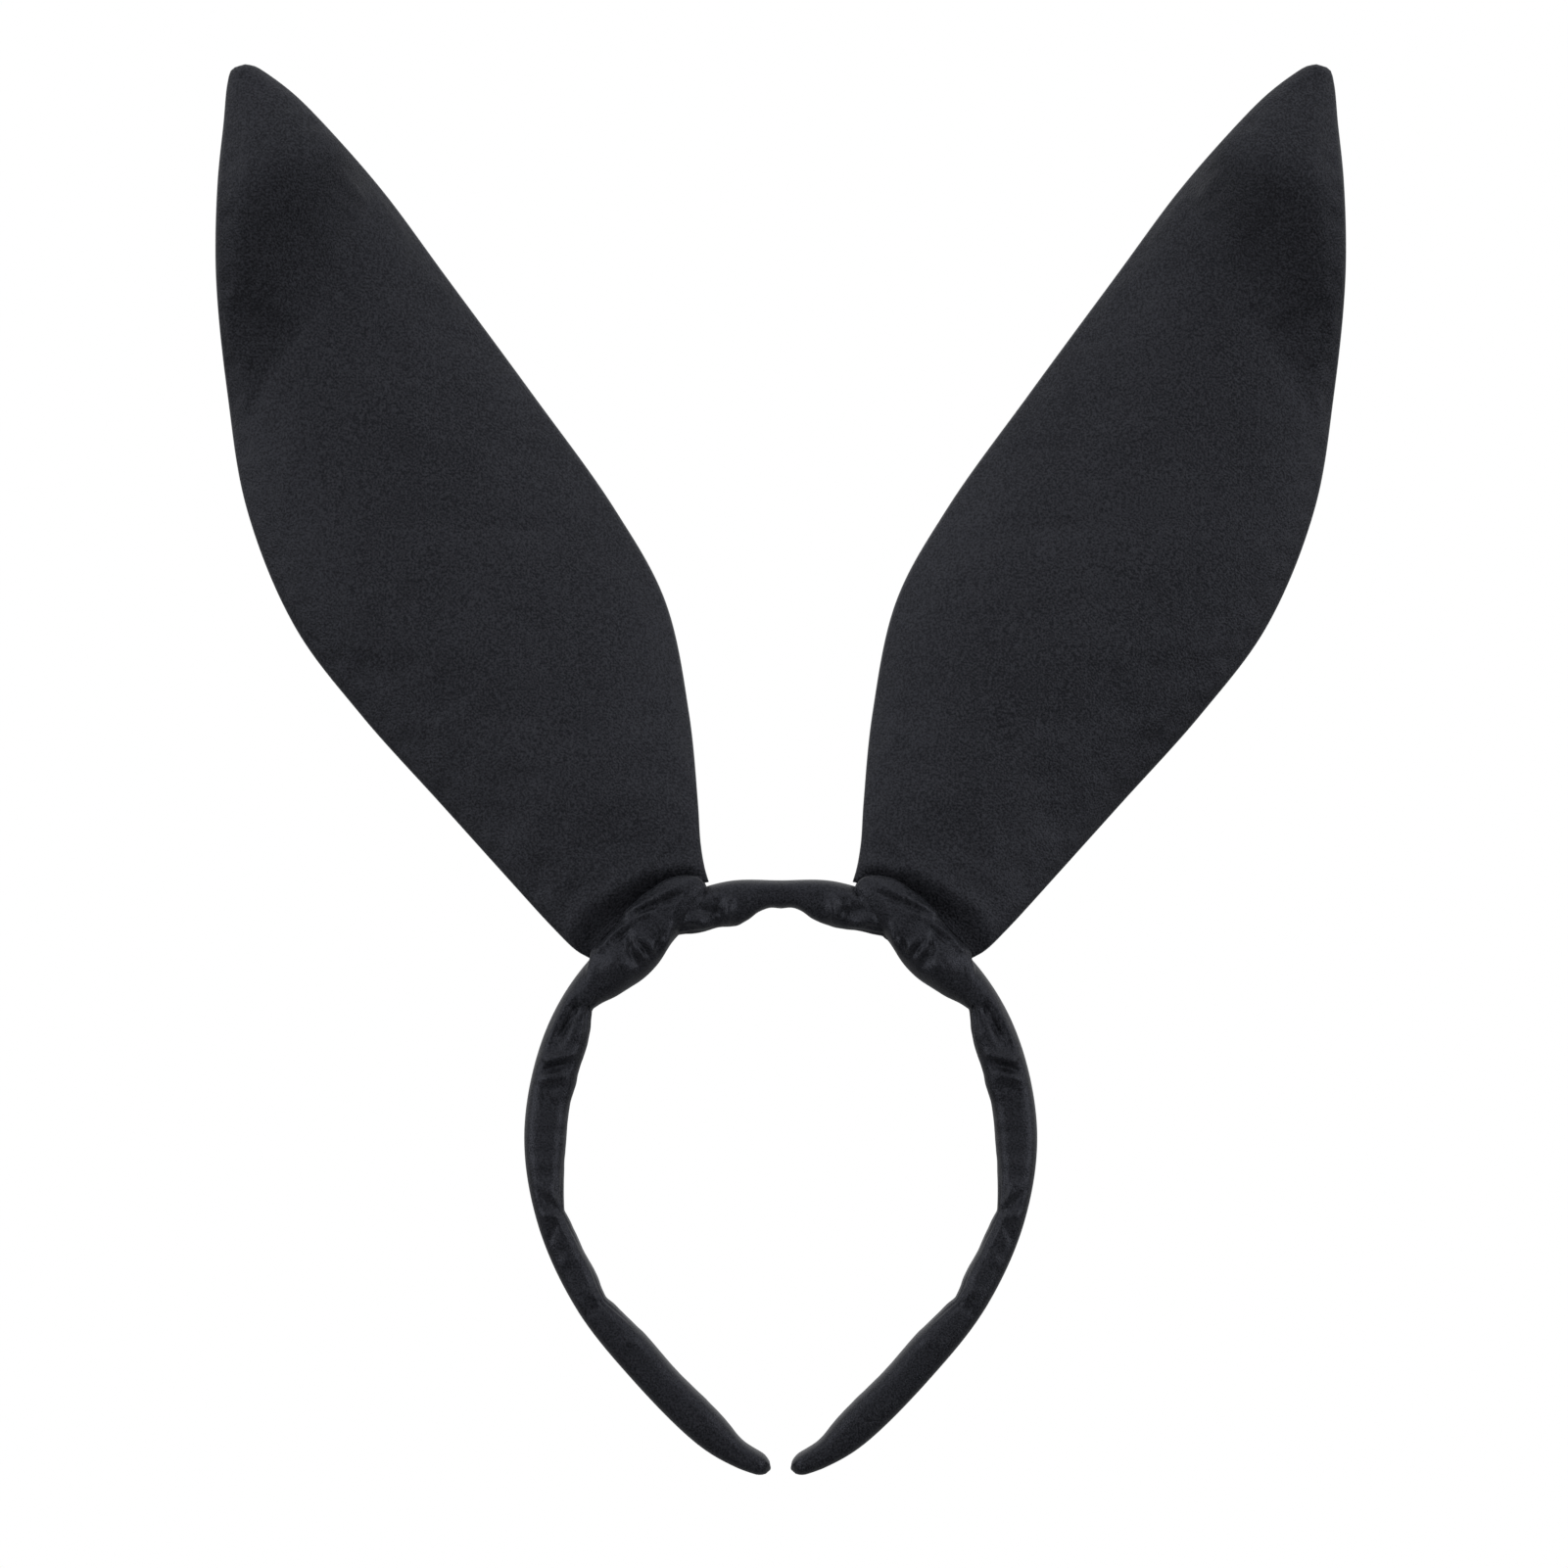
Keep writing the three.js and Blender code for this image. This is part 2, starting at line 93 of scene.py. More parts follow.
SQUARE_CROWN = (9, 17)  # the squarer section over the crown fades out between these places
SQUARE_LEG = (60, 82)  # and it comes back between these
DEPTH_SHARE = 0.97  # how much of the CAD cover's depth the cloth takes
FLATTER_UNDER_WRAP = 0.16  # how much less it takes under the ear's wrap
THINNER_UNDER_WRAP = 1.3
COVER_TIP_DEPTH = 6.0  # half the depth at the leg's tip
TIP_TAPER = (24, 5)  # the depth changes to that between these distances from the tip
TIP_ROUNDING = 3.4
LEAST_TIP_SCALE = 0.1
END_GAP = 0.01  # how far short of the leg's end the last ring is
TANGENT_REACH = 1.5  # the hoop's direction is read from points this far each side
SECTION_MIDDLE = 4.0  # how far in from the outer line the points at the two leg places below lie
LEG_BEND = (52.0, 80.0)  # two places on the leg; make_cover works out points there but does not use them
COVER_SEAM_AT = 40.0  # the two halves of the cover meet here, hidden under the right wrap
BACK_SEAM = 1.5 * math.pi  # the seam down the cover's back, as an angle round the section
SEAM_GROOVE = 0.35
SEAM_GROOVE_WIDTH = 1.0
STITCH_SPACING = 5  # rings of the cover from one stitch to the next
STITCH_REACH = 2  # columns of the cover that a stitch spans each side of the seam
STITCH_SIDES = 6
STITCH_SHAPE = [(0.0, 0.4), (0.15, 0.9), (0.5, 1.0), (0.85, 0.9), (1.0, 0.4)]  # share along, thickness
STITCH_SINK = 0.3  # how much of the groove's depth a stitch sinks in
THREAD_RADIUS = 0.28

# Folds in the satin, front view: start (x, z), end (x, z), half width, height. Valleys are negative.
COVER_FOLDS = [
    ((-12.2, 2.6), (-13.4, -3.4), 1.1, 0.95),  # crown: bright fold over the first bulge
    ((-15.5, 1.6), (-15.7, -3.2), 1.4, -1.15),  # crown: dark valley beside it
    ((-20.6, 0.8), (-16.6, -1.6), 1.4, -0.8),
    ((-21.6, -2.4), (-17.5, -4.2), 1.5, 0.8),
    ((-8.8, 0.2), (-9.8, -2.6), 1.2, -0.35),
    ((-24.6, -1.8), (-25.8, -5.4), 0.9, -0.7),
    ((-50.3, -22.6), (-49.9, -26.5), 1.2, -0.7),  # leg: dark fold under the shoulder
    ((-50.6, -24.4), (-55.2, -33.6), 1.4, -1.6),
    ((-53.6, -24.2), (-57.0, -32.0), 0.8, 0.9),
    ((-54.9, -24.6), (-58.2, -31.8), 0.6, -0.5),
    ((-60.4, -34.0), (-56.6, -36.9), 0.8, 1.2),  # leg: ridge and valley across
    ((-56.6, -36.9), (-51.0, -35.3), 0.8, 1.1),
    ((-58.6, -39.6), (-52.4, -37.8), 0.9, -1.1),
    ((-59.2, -41.6), (-53.6, -40.4), 0.9, 0.6),
    ((-57.4, -43.8), (-53.6, -43.4), 1.4, -0.4),
    ((-54.2, -73.8), (-57.4, -67.0), 0.9, 0.6),  # leg: folds running into the pinched places
    ((-54.0, -74.4), (-59.6, -68.4), 0.9, -0.6),
    ((-54.4, -75.4), (-59.0, -74.2), 0.9, 0.5),
    ((-54.6, -76.4), (-57.0, -81.6), 0.9, -0.5),
    ((-51.0, -84.0), (-53.4, -87.0), 1.2, 0.35),
    ((-43.4, -95.2), (-48.2, -93.0), 1.0, 0.45),
    ((-43.6, -96.4), (-47.4, -98.8), 1.0, -0.45),
    ((-34.6, -104.6), (-38.4, -106.0), 1.3, 0.3),
]
FOLD_STRENGTH = 1.3
FOLD_END_HEIGHT = 0.35  # a fold's height at its ends, against 1 at its middle
FOLD_END_SHARE = 0.12  # the share of its length over which it keeps that height
FOLDS_BEHIND = 0.25  # how strong the folds are on the cover's back
FRONT_FROM_BACK = (-0.5, 0.5)
# Where things change round the cover, from 0 on the hoop's outer line to 1 towards the head.
LOOSE_SIDE = (0.02, 0.5)  # the folds and ripples start
PLEATED_SIDE = (0.4, 0.9)  # the pleats start
INNER_EDGE = (0.8, 1.0)  # the folds fade again
FOLDS_LOST_INSIDE = 0.75
# Places where the cover is stitched down: distance along, how far the pleats reach, their height.
PINCHES = [(30, 7, 0.25), (63, 8, 0.3), (120, 8, 0.25), (146, 7, 0.2)]
PLEATS_AROUND = 13
PLEAT_SWAY = 0.8
PLEAT_TURN = 0.5  # how far the pleats turn from one millimetre along the hoop to the next
# Small ripples in the cover: slant, size along and round it, seed, height.
COVER_RIPPLES = [(7.0, (6.0, 12.0), 3, 0.30), (0.0, (2.8, 7.0), 8, 0.12)]
RIPPLE_ORIGIN = (300, 0)
ROUND_COVER = 40.0  # once round the cover, in the units of the ripples' sizes
CALM_LEG = (150, 170)  # the ripples are weaker below these places
CALM_LOSS = 0.5
FOLDS_FROM_TIP = 1.5  # how fast the folds grow up from the leg's rounded tip
NOISE_CELLS = 64

# ---- the ears, millimetres
# The hinge line that each ear tilts about, and its directions: along it, and out of the hoop.
EAR_HINGE = np.array([-35.3, 1.6])
HINGE_ANGLE = math.radians(34.1)
HINGE_ALONG = np.array([math.cos(HINGE_ANGLE), math.sin(HINGE_ANGLE)])
HINGE_OUT = np.array([-math.sin(HINGE_ANGLE), math.cos(HINGE_ANGLE)])

# The left ear's two edges, from where they go under the wrap up to the tip.
EAR_TIP = (-131.2, 206.9)
EAR_OUTER_EDGE = [
    (-46.6, -12.2), (-50, -10.3), (-55.5, -5), (-67.4, 7.9), (-84, 26.2), (-103.4, 47.8), (-119.6, 69.4),
    (-131.4, 98.2), (-136.2, 127), (-138.4, 155), (-137.6, 178), (-136.3, 192), (-135.4, 202.4),
    (-134.4, 205.6), EAR_TIP,
]
EAR_INNER_EDGE = [
    (-17.6, 6.6), (-18.6, 10), (-19.6, 16), (-20.3, 26.2), (-22.5, 47.8), (-28.4, 75.6), (-40.8, 98.2),
    (-61.4, 127), (-82.6, 155.8), (-97.8, 176.4), (-107.6, 187.6), (-118.6, 199), (-125.8, 204.6),
    (-128.8, 206.4), EAR_TIP,
]
# Where the ear's rolled lower edge runs, in the hinge's directions: along, out.
STREAK = [
    (-19, 0.5), (-15.5, 3.8), (-11, 5.4), (-5, 5.6), (2.5, 5.2), (7.5, 4.3), (11.5, 2.3), (16, -0.3),
    (20, -2.8),
]
EAR_FOLDS = [
    ((-32.6, 9.6), (-25.9, 18.6), 1.1, 0.45),  # creases running up from the ear's base
    ((-30.4, 9.2), (-24.6, 16.4), 1.0, -0.35),
    ((-41.4, 4.2), (-38.4, 12.4), 1.3, 0.25),
    ((-43.6, 2.4), (-42.6, 9.6), 1.2, -0.25),
    ((-24.0, 10.6), (-22.6, 18.0), 1.0, 0.25),
]
EAR_ROWS = 190
EAR_COLUMNS = 64
EDGE_CROWDING = 0.75  # how much closer together the columns are at the ear's edges
EAR_HALF_THICKNESS = 1.9
EAR_CROWN = 1.9  # how much fuller the middle of the ear is than its edges
CROWN_POWER = 2.6
CROWN_WIDTH = 55.0  # the ear is as full as that where it is at least this wide
EDGE_ROUNDING = 3.6
PANEL_GAP = 0.06  # half the gap between the two panels at their seam
BASE_HALF_THICKNESS = 0.9
BASE_STEP = (-6.5, 0.2)  # the ear gets thicker between these distances above its rolled lower edge
ROLL_HEIGHT = 0.8
ROLL_AT = 0.7  # where the roll is highest above that edge, and how wide it is
ROLL_WIDTH = 2.0
BASE_BULGE = 3.4  # how far the ear's bottom row curves up over the hoop
BASE_BULGE_FADE = 14.0

# How the ear is bent out of its plane. Rows run from 0 at the base to 1 at the tip, and columns from
# -1 at the outer edge to 1 at the inner edge.
EAR_LEAN_BACK = 5.0  # the ear leans back on its way up, then forward, and its tip curls back
LEAN_BACK_ROWS = (0.05, 0.72)
EAR_LEAN_FORWARD = 15.0
FORWARD_START = 0.66  # the row where the forward bend starts, at this column
FORWARD_COLUMN = -0.65
FORWARD_SLANT = 0.09  # how much further up it starts from one column to the next
FORWARD_END = 0.88
TIP_CURL = 9.5
TIP_CURL_ROWS = (0.85, 1.02)
EAR_CUP_INNER = 7.5  # how far the wire bends the ear's inner and outer edges back
EAR_CUP_OUTER = 5.2
CUP_INNER_POWER = 2.3
CUP_OUTER_POWER = 3.2
CUP_START_ROWS = (0.02, 0.2)
CUP_END_ROWS = (0.8, 1.0)

# The small relief of the ear's cloth: puckers at the seam, gathers at the base and slow waves.
PUCKER_HEIGHT = 0.10
PUCKER_PITCH = 7.0
PUCKER_SHIFT = 2.0
PUCKER_AT = 2.5  # how far in from the seam the puckers are highest, and how wide they are
PUCKER_WIDTH = 2.2
GATHERS_HEIGHT = 0.22
GATHERS_NOISE = ((50, 60), (3.4, 26.0), 5)  # the noise's origin, its size along and out, and its seed
GATHERS_FADE = 12.0
WAVES_HEIGHT = 0.16
WAVES_NOISE = ((300, 100), (22.0, 34.0), 11)
RELIEF_FROM_EDGE = 3.0
RELIEF_FROM_BASE = (-3.0, 1.0)

# The cloth simulation of one ear's panels.
CLOTH_FRAMES = 20
CLOTH_ROWS = 76
CLOTH_COLUMNS = 30
CLOTH_TOP_ROW = 0.965  # the rows above this stay as they are sewn
CLOTH_FURTHEST = 2.0  # no point moves further than this
SEAM_HOLD = (0.3, 2.0)  # the stitching holds the cloth up to here from the seam
WRAP_HOLD = (1.0, 7.0)  # and the wrap holds it up to here above the rolled lower edge
PAD_HOLD = 0.08  # how firmly the padding holds the cloth, from 0 to 1
CLOTH_SETTINGS = {
    "quality": 8, "mass": 0.001, "use_pressure": True, "uniform_pressure_force": 1.0,
    "tension_stiffness": 20, "compression_stiffness": 12, "shear_stiffness": 8, "bending_stiffness": 1.0,
    "shrink_min": -0.003,  # how much larger the cloth is cut than the frame it covers
}

# The pad inside the ear, in rows and columns as above, and the wire loop.
PAD_ROWS = 90
PAD_COLUMNS = 30
PAD_BOTTOM = 0.09
PAD_TOP = 0.965
PAD_REACH = 0.86
PAD_RIM = 0.08  # how wide its rounded rim is at the sides, and at the ends
PAD_END_RIM = 0.01
PAD_HALF_THICKNESS = 1.5
PAD_RIM_HALF = 0.02
WIRE_RADIUS = 0.6
WIRE_SIDES = 10
WIRE_END = (0.9, 0.4)  # a rod's rounded end: length and width, in radii
WIRE_ROWS = (0.07, 0.97, 90)
WIRE_INSET = 1.9
WIRE_TOP = (-129.6, 204.0)
WIRE_TOP_ROW = 0.99
WIRE_FOOT_ALONG = 12.0
WIRE_FOOT_OUT = (0.75, 2.4)
WIRE_STEPS = 2

# ---- the wraps, millimetres
WRAP_START = 17.2
WRAP_END = 53.4
WRAP_SHEAR = 10.4  # the wrap's lower end lies this much further along the hoop than its top
WRAP_LIFT = 0.75  # how far the wrap stands off the cover
WRAP_TUCK = 9.0  # how far from its ends the wrap runs in under the cover
LIP_TUCK = 2.6  # the same at its top lips
WRAP_ROWS = 84
# How far the wrap's top lip stands out past the hoop's outer line.
RIDGE = [
    (17.2, 0.2), (18.8, 1.6), (21, 3.3), (25, 4.4), (27.5, 4.5), (31, 4.1), (34, 3.6), (37, 2.9), (40, 1.9),
    (43, 1.0), (46.3, 0.6), (49.3, 0.9), (51.6, 0.5), (53.4, 0.1),
]
WRAP_FOLDS = [
    ((-37.2, -1.4), (-30.4, 2.6), 0.8, 0.9),  # the rolled band along the lip and the line under it
    ((-30.4, 2.6), (-25.0, 5.2), 1.1, 0.8),
    ((-35.6, -0.9), (-31.4, 0.9), 0.7, -0.9),
    ((-31.4, 0.9), (-24.6, 3.5), 0.8, -0.8),
    ((-44.2, -10.2), (-36.4, -3.0), 0.7, 0.8),  # the second ridge, below the band's outer half
    ((-35.2, -2.0), (-31.6, -1.0), 0.6, 0.6),
    ((-40.6, -8.0), (-37.4, -5.2), 0.7, -0.9),
    ((-36.9, -7.2), (-37.0, -10.0), 0.9, -0.7),  # folds fanning down to the inner edge
    ((-37.0, -10.0), (-35.0, -13.2), 1.1, -0.7),
    ((-35.9, -7.6), (-33.6, -11.8), 0.8, 0.7),
    ((-34.7, -8.2), (-32.4, -10.8), 0.8, -0.6),
    ((-34.7, -6.2), (-31.9, -8.8), 0.9, 0.5),
    ((-31.9, -8.8), (-30.8, -10.8), 1.0, 0.6),
    ((-29.0, -6.6), (-30.6, -10.4), 0.8, -0.8),
    ((-28.0, -6.6), (-29.2, -9.0), 0.8, 0.6),
    ((-39.6, -12.4), (-37.6, -14.6), 2.2, 0.7),
    ((-44.6, -15.0), (-42.6, -19.0), 1.8, -0.4),
    ((-27.4, -1.0), (-24.8, -4.8), 1.4, -0.35),
]
# The wrap's section, inward and outward: from the lip's top, then as shares of the cover's section.
LIP_SECTION = [(4.2, 1.8), (1.8, 3.0), (0.3, 4.2), (0.0, 5.1), (1.0, 6.3)]
SHOULDER = (0.26, 0.35, 0.95)  # shares of the thickness, of the lip's height and of the depth
ROUND_SECTION = [(0.52, 1.0), (0.80, 0.84), (0.96, 0.45), (1.0, 0.0)]
SECTION_STEPS = 9
TUCKED_FROM_ANGLE = 0.12  # the wrap's tucked ends follow the cover's section from this angle round
TUCKED_IN = 0.5  # and lie this far inside it, and this much flatter
TUCKED_FLATTER = 0.7
LIP_TO_ROUND = (0.3, 0.7)  # the share of the section over which the tuck grows from lip to round
WRAP_FRONT = (1.0, 4.0)  # the folds start between these distances from the middle plane
WRAP_FOLDS_BEHIND = 0.5
WRAP_RIPPLE_HEIGHT = 0.2
WRAP_RIPPLE_NOISE = ((100, 100), (4.0, 6.0), 21)
WRAP_CALM_ROWS = 10
HIDES_COVER_FROM = (WRAP_START + 3, WRAP_START + 9)  # where the wrap hides the cover
HIDES_COVER_TO = (WRAP_END - 7, WRAP_END - 2)

# ---- materials
# Cloth: colour of the pile's shadows and lights, roughness, size of the pile in millimetres, bump, sheen.
SATIN = ((0.002, 0.0022, 0.0027), (0.037, 0.0382, 0.0458), 0.29, 0.42, 0.45, 0.08)
EAR_CLOTH = ((0.0005, 0.0006, 0.0008), (0.042, 0.043, 0.051), 0.40, 0.5, 1.0, 0.12)
PATCH_SCALE = 28.0  # slow variations of colour, and their share
PATCH_SHARE = 0.15
PILE_STOPS = (0.40, 0.60)
WEAVE_SCALE = 0.32
WEAVE_DISTORTION = 1.5
WEAVE_SHARE = 0.06
CLOTH_RELIEF = 0.35
ROUGHNESS_SPREAD = 0.06
CLOTH_SHINE = {
    "Sheen Roughness": 0.45,
    "Sheen Tint": (0.8, 0.86, 1.0, 1),
    "Specular IOR Level": 0.5,
    "Specular Tint": (0.81, 0.84, 1.0, 1),
}
# Plain materials: two mottled colours, roughness, scale of the mottling, how metallic.
FOAM = ((0.02, 0.02, 0.022), (0.05, 0.05, 0.055), 0.95, 900, 0.0)
SPRING_PLASTIC = ((0.008, 0.008, 0.009), (0.014, 0.014, 0.016), 0.45, 400, 0.0)
STEEL_WIRE = ((0.35, 0.36, 0.38), (0.6, 0.61, 0.63), 0.35, 1500, 1.0)
SOFT_CAP = ((0.01, 0.01, 0.011), (0.02, 0.02, 0.022), 0.75, 600, 0.0)
MOTTLE_STOPS = (0.3, 0.7)
MOTTLE_BUMP = 0.3
MOTTLE_RELIEF = 0.1

# ---- stage, light and camera, metres
FRAME_WIDTH = 0.3842  # how much of the object's plane the camera's frame spans
FRAME_CENTRE = (0.0008, 0.0306)
LENS = 200.0
SENSOR = 36.0
CLIP_END = 20.0
FLOOR_HALF_SIZE = 6.0
FLOOR_DROP = 0.08  # how far the floor lies below the object
FLOOR_GREY = 0.25
FLOOR_ROUGHNESS = 0.8
GLOW_FALLOFF = 2.0
# The studio's even light from each direction: axis, its sign, and how strong it is.
STUDIO_GLOW = [("X", 1, 0.4), ("X", -1, 0.4), ("Y", -1, 0.3), ("Y", 1, 0.4), ("Z", 1, 0.62)]
# Soft boxes: name, place, what it points at, width and height, watts.
STUDIO_LIGHTS = [
    ("left_soft_box", (-1.9, -0.7, 0.4), (0, 0, 0.05), (0.9, 1.4), 3),
    ("right_soft_box", (1.9, -0.7, 0.4), (0, 0, 0.05), (0.9, 1.4), 3),
    ("left_low_box", (-1.4, -1.1, -0.1), (0, 0, 0.05), (0.8, 0.4), 2.5),
    ("right_low_box", (1.4, -1.1, -0.1), (0, 0, 0.05), (0.8, 0.4), 2.5),
]


# ---- curves
def catmull(points, per_segment=FINE_STEPS):
    """A centripetal Catmull-Rom curve through the points, as an array."""
    p = np.array(points, float)
    q = np.vstack([2 * p[0] - p[1], p, 2 * p[-1] - p[-2]])
    pieces = []
    for i in range(len(p) - 1):
        a, b, c, d = q[i:i + 4]
        t1 = np.linalg.norm(b - a) ** 0.5
        t2 = t1 + np.linalg.norm(c - b) ** 0.5
        t3 = t2 + np.linalg.norm(d - c) ** 0.5
        t = np.linspace(t1, t2, per_segment, endpoint=False)[:, None]
        ab = (t1 - t) / t1 * a + t / t1 * b
        bc = (t2 - t) / (t2 - t1) * b + (t - t1) / (t2 - t1) * c
        cd = (t3 - t) / (t3 - t2) * c + (t - t2) / (t3 - t2) * d
        abc = (t2 - t) / t2 * ab + t / t2 * bc
        bcd = (t3 - t) / (t3 - t1) * bc + (t - t1) / (t3 - t1) * cd
        pieces.append((t2 - t) / (t2 - t1) * abc + (t - t1) / (t2 - t1) * bcd)
    return np.vstack(pieces + [p[-1:]])


def lengths_along(line):
    return np.concatenate([[0], np.cumsum(np.linalg.norm(np.diff(line, axis=0), axis=1))])


def at_length(line, lengths, wanted):
    return np.stack([np.interp(wanted, lengths, line[:, k]) for k in range(line.shape[1])], -1)


def smoothstep(low, high, x):
    t = np.clip((x - low) / (high - low), 0, 1)
    return t * t * (3 - 2 * t)


def bell(distance, width):
    return np.exp(-(distance / width) ** 2)


class Hoop:
    """The hoop cover's outer line. Distance is signed from the crown's middle, negative on the left."""

    def __init__(self):
        left = np.array(HOOP_HALF, float)
        whole = np.vstack([left[::-1], left[1:] * (-1, 1)])
        self.line = catmull(whole)
        self.lengths = lengths_along(self.line)
        self.half = self.lengths[-1] / 2

    def point(self, along, inward):
        """Points in the XZ plane at these distances along the line and in from it."""
        wanted = self.half + np.asarray(along, float)
        here = at_length(self.line, self.lengths, wanted)
        ahead = at_length(self.line, self.lengths, wanted + TANGENT_REACH)
        behind = at_length(self.line, self.lengths, wanted - TANGENT_REACH)
        tangent = ahead - behind
        tangent /= np.linalg.norm(tangent, axis=-1, keepdims=True)
        normal = np.stack([tangent[..., 1], -tangent[..., 0]], -1)
        return here + normal * np.asarray(inward, float)[..., None]


hoop = Hoop()


def cover_thickness(along):
    stations = np.vstack([catmull(stretch, COARSE_STEPS) for stretch in COVER_STRETCHES])
    return np.interp(np.abs(along), stations[:, 0], stations[:, 1])


def under_wrap(along, share):
    """1 where the ear's wrap covers the hoop, and 0 where the cover shows. Share is 0 at the hoop's
    outer line and 1 at its inner edge."""
    near = np.abs(along) - WRAP_SHEAR * share
    return smoothstep(*HIDES_COVER_FROM, near) * (1 - smoothstep(*HIDES_COVER_TO, near))


def value_noise(u, v, origin, cells, seed):
    """Smooth repeatable noise from -1 to 1 over two coordinates."""
    rng = np.random.RandomState(seed)
    table = rng.uniform(-1, 1, (NOISE_CELLS, NOISE_CELLS))
    x, y = (u + origin[0]) / cells[0], (v + origin[1]) / cells[1]
    x0, y0 = np.floor(x).astype(int), np.floor(y).astype(int)
    fx, fy = smoothstep(0, 1, x - x0), smoothstep(0, 1, y - y0)

    def corner(dx, dy):
        return table[(x0 + dx) % NOISE_CELLS, (y0 + dy) % NOISE_CELLS]

    low = corner(0, 0) * (1 - fx) + corner(1, 0) * fx
    high = corner(0, 1) * (1 - fx) + corner(1, 1) * fx
    return low * (1 - fy) + high * fy


def signed_power(x, power):
    """A cosine or sine made squarer or rounder, as a superellipse needs."""
    return np.sign(x) * np.abs(x) ** power


def quarter_round(share):
    """The height of a quarter circle, from 0 at share 0 to 1 at share 1."""
    return np.sqrt(1 - (1 - share) ** 2)


# ---- meshes
def add_object(name, data):
    piece = bpy.data.objects.new(name, data)
    bpy.context.scene.collection.objects.link(piece)
    return piece


def mesh_object(name, points, faces):
    """A mesh object from points in millimetres."""
    mesh = bpy.data.meshes.new(name)
    mesh.from_pydata((np.asarray(points, float) * MM).tolist(), [], faces)
    mesh.validate()
    mesh.update()
    mesh.polygons.foreach_set("use_smooth", [True] * len(mesh.polygons))
    return add_object(name, mesh)


def grid_faces(rows, columns, wrap=False, start=0):
    """Quads over a grid of points stored row by row. With wrap, each row is a closed ring."""
    faces = []
    last = columns if wrap else columns - 1
    for row in range(rows - 1):
        for column in range(last):
            a = start + row * columns + column
            b = start + row * columns + (column + 1) % columns
            faces.append((a, b, b + columns, a + columns))
    return faces


def flip(faces):
    return [tuple(reversed(face)) for face in faces]


def outward_normals(points, wrap):
    """Unit normals of a grid of points round the Y = 0 plane, rows by columns by 3."""
    down = np.gradient(points, axis=0)
    if wrap:
        across = (np.roll(points, -1, axis=1) - np.roll(points, 1, axis=1)) / 2
    else:
        across = np.gradient(points, axis=1)
    normal = np.cross(across, down)
    normal *= np.sign((normal[..., 1] * points[..., 1]).sum())
    size = np.linalg.norm(normal, axis=-1, keepdims=True)
    return normal / np.maximum(size, TINY)


def mirrored(points, side):
    return np.asarray(points, float) * (side, 1, 1)


def segment_distance(x, z, start, end):
    """Distance in the XZ plane to a segment, and how far along it the nearest point is, 0 to 1."""
    sx, sz = start
    dx, dz = end[0] - sx, end[1] - sz
    t = np.clip(((x - sx) * dx + (z - sz) * dz) / (dx * dx + dz * dz), 0, 1)
    return np.hypot(x - sx - t * dx, z - sz - t * dz), t


def tube(name, rings, side=1.0, cap_start=False, cap_end=False):
    """A tube through rings of points, mirrored to its side, with its ends closed where asked."""
    rows, columns, _ = rings.shape
    points = list(rings.reshape(-1, 3))
    faces = grid_faces(rows, columns, wrap=True)
    if cap_start:
        faces += [(len(points), (k + 1) % columns, k) for k in range(columns)]
        points.append(rings[0].mean(axis=0))
    if cap_end:
        first = (rows - 1) * columns
        faces += [(len(points), first + k, first + (k + 1) % columns) for k in range(columns)]
        points.append(rings[-1].mean(axis=0))
    piece = mesh_object(name, mirrored(points, side), faces)
    if side < 0:
        piece.data.flip_normals()
    return piece


def with_depth(flat, y):
    """Points of the XZ plane moved out of it."""
    return np.stack([flat[..., 0], y, flat[..., 1]], -1)


def sheet_object(name, points, side, outward):
    """A grid of points as a sheet, mirrored to its side, with its faces turned outward."""
    rows, columns, _ = points.shape
    faces = grid_faces(rows, columns)
    if outward * side > 0:
        faces = flip(faces)
    piece = mesh_object(name, mirrored(points.reshape(-1, 3), side), faces)
    thicken(piece)
    return piece


def thicken(piece):
    """Gives a sheet its cloth thickness, inwards from its visible face."""
    modifier = piece.modifiers.new("thickness", "SOLIDIFY")
    modifier.thickness = CLOTH_THICKNESS * MM
    modifier.offset = -1


# ---- the hoop's cover
def fold_height(x, z, folds):
    height = np.zeros_like(x)
    for start, end, width, rise in folds:
        distance, t = segment_distance(x, z, start, end)
        arch = np.sin(np.pi * np.clip(t, FOLD_END_SHARE, 1 - FOLD_END_SHARE))
        shape = FOLD_END_HEIGHT + (1 - FOLD_END_HEIGHT) * arch
        height += FOLD_STRENGTH * rise * bell(distance, width) * shape
    return height


def front_strength(phi):
    """Full on the cover's front, and weaker on its back, where other folds lie."""
    return FOLDS_BEHIND + (1 - FOLDS_BEHIND) * smoothstep(*FRONT_FROM_BACK, np.sin(phi))


def from_tip(s):
    """0 at the leg's very tip, and 1 from where its rounding ends."""
    return np.clip((hoop.half - np.abs(s)) / TIP_ROUNDING, 0, 1)


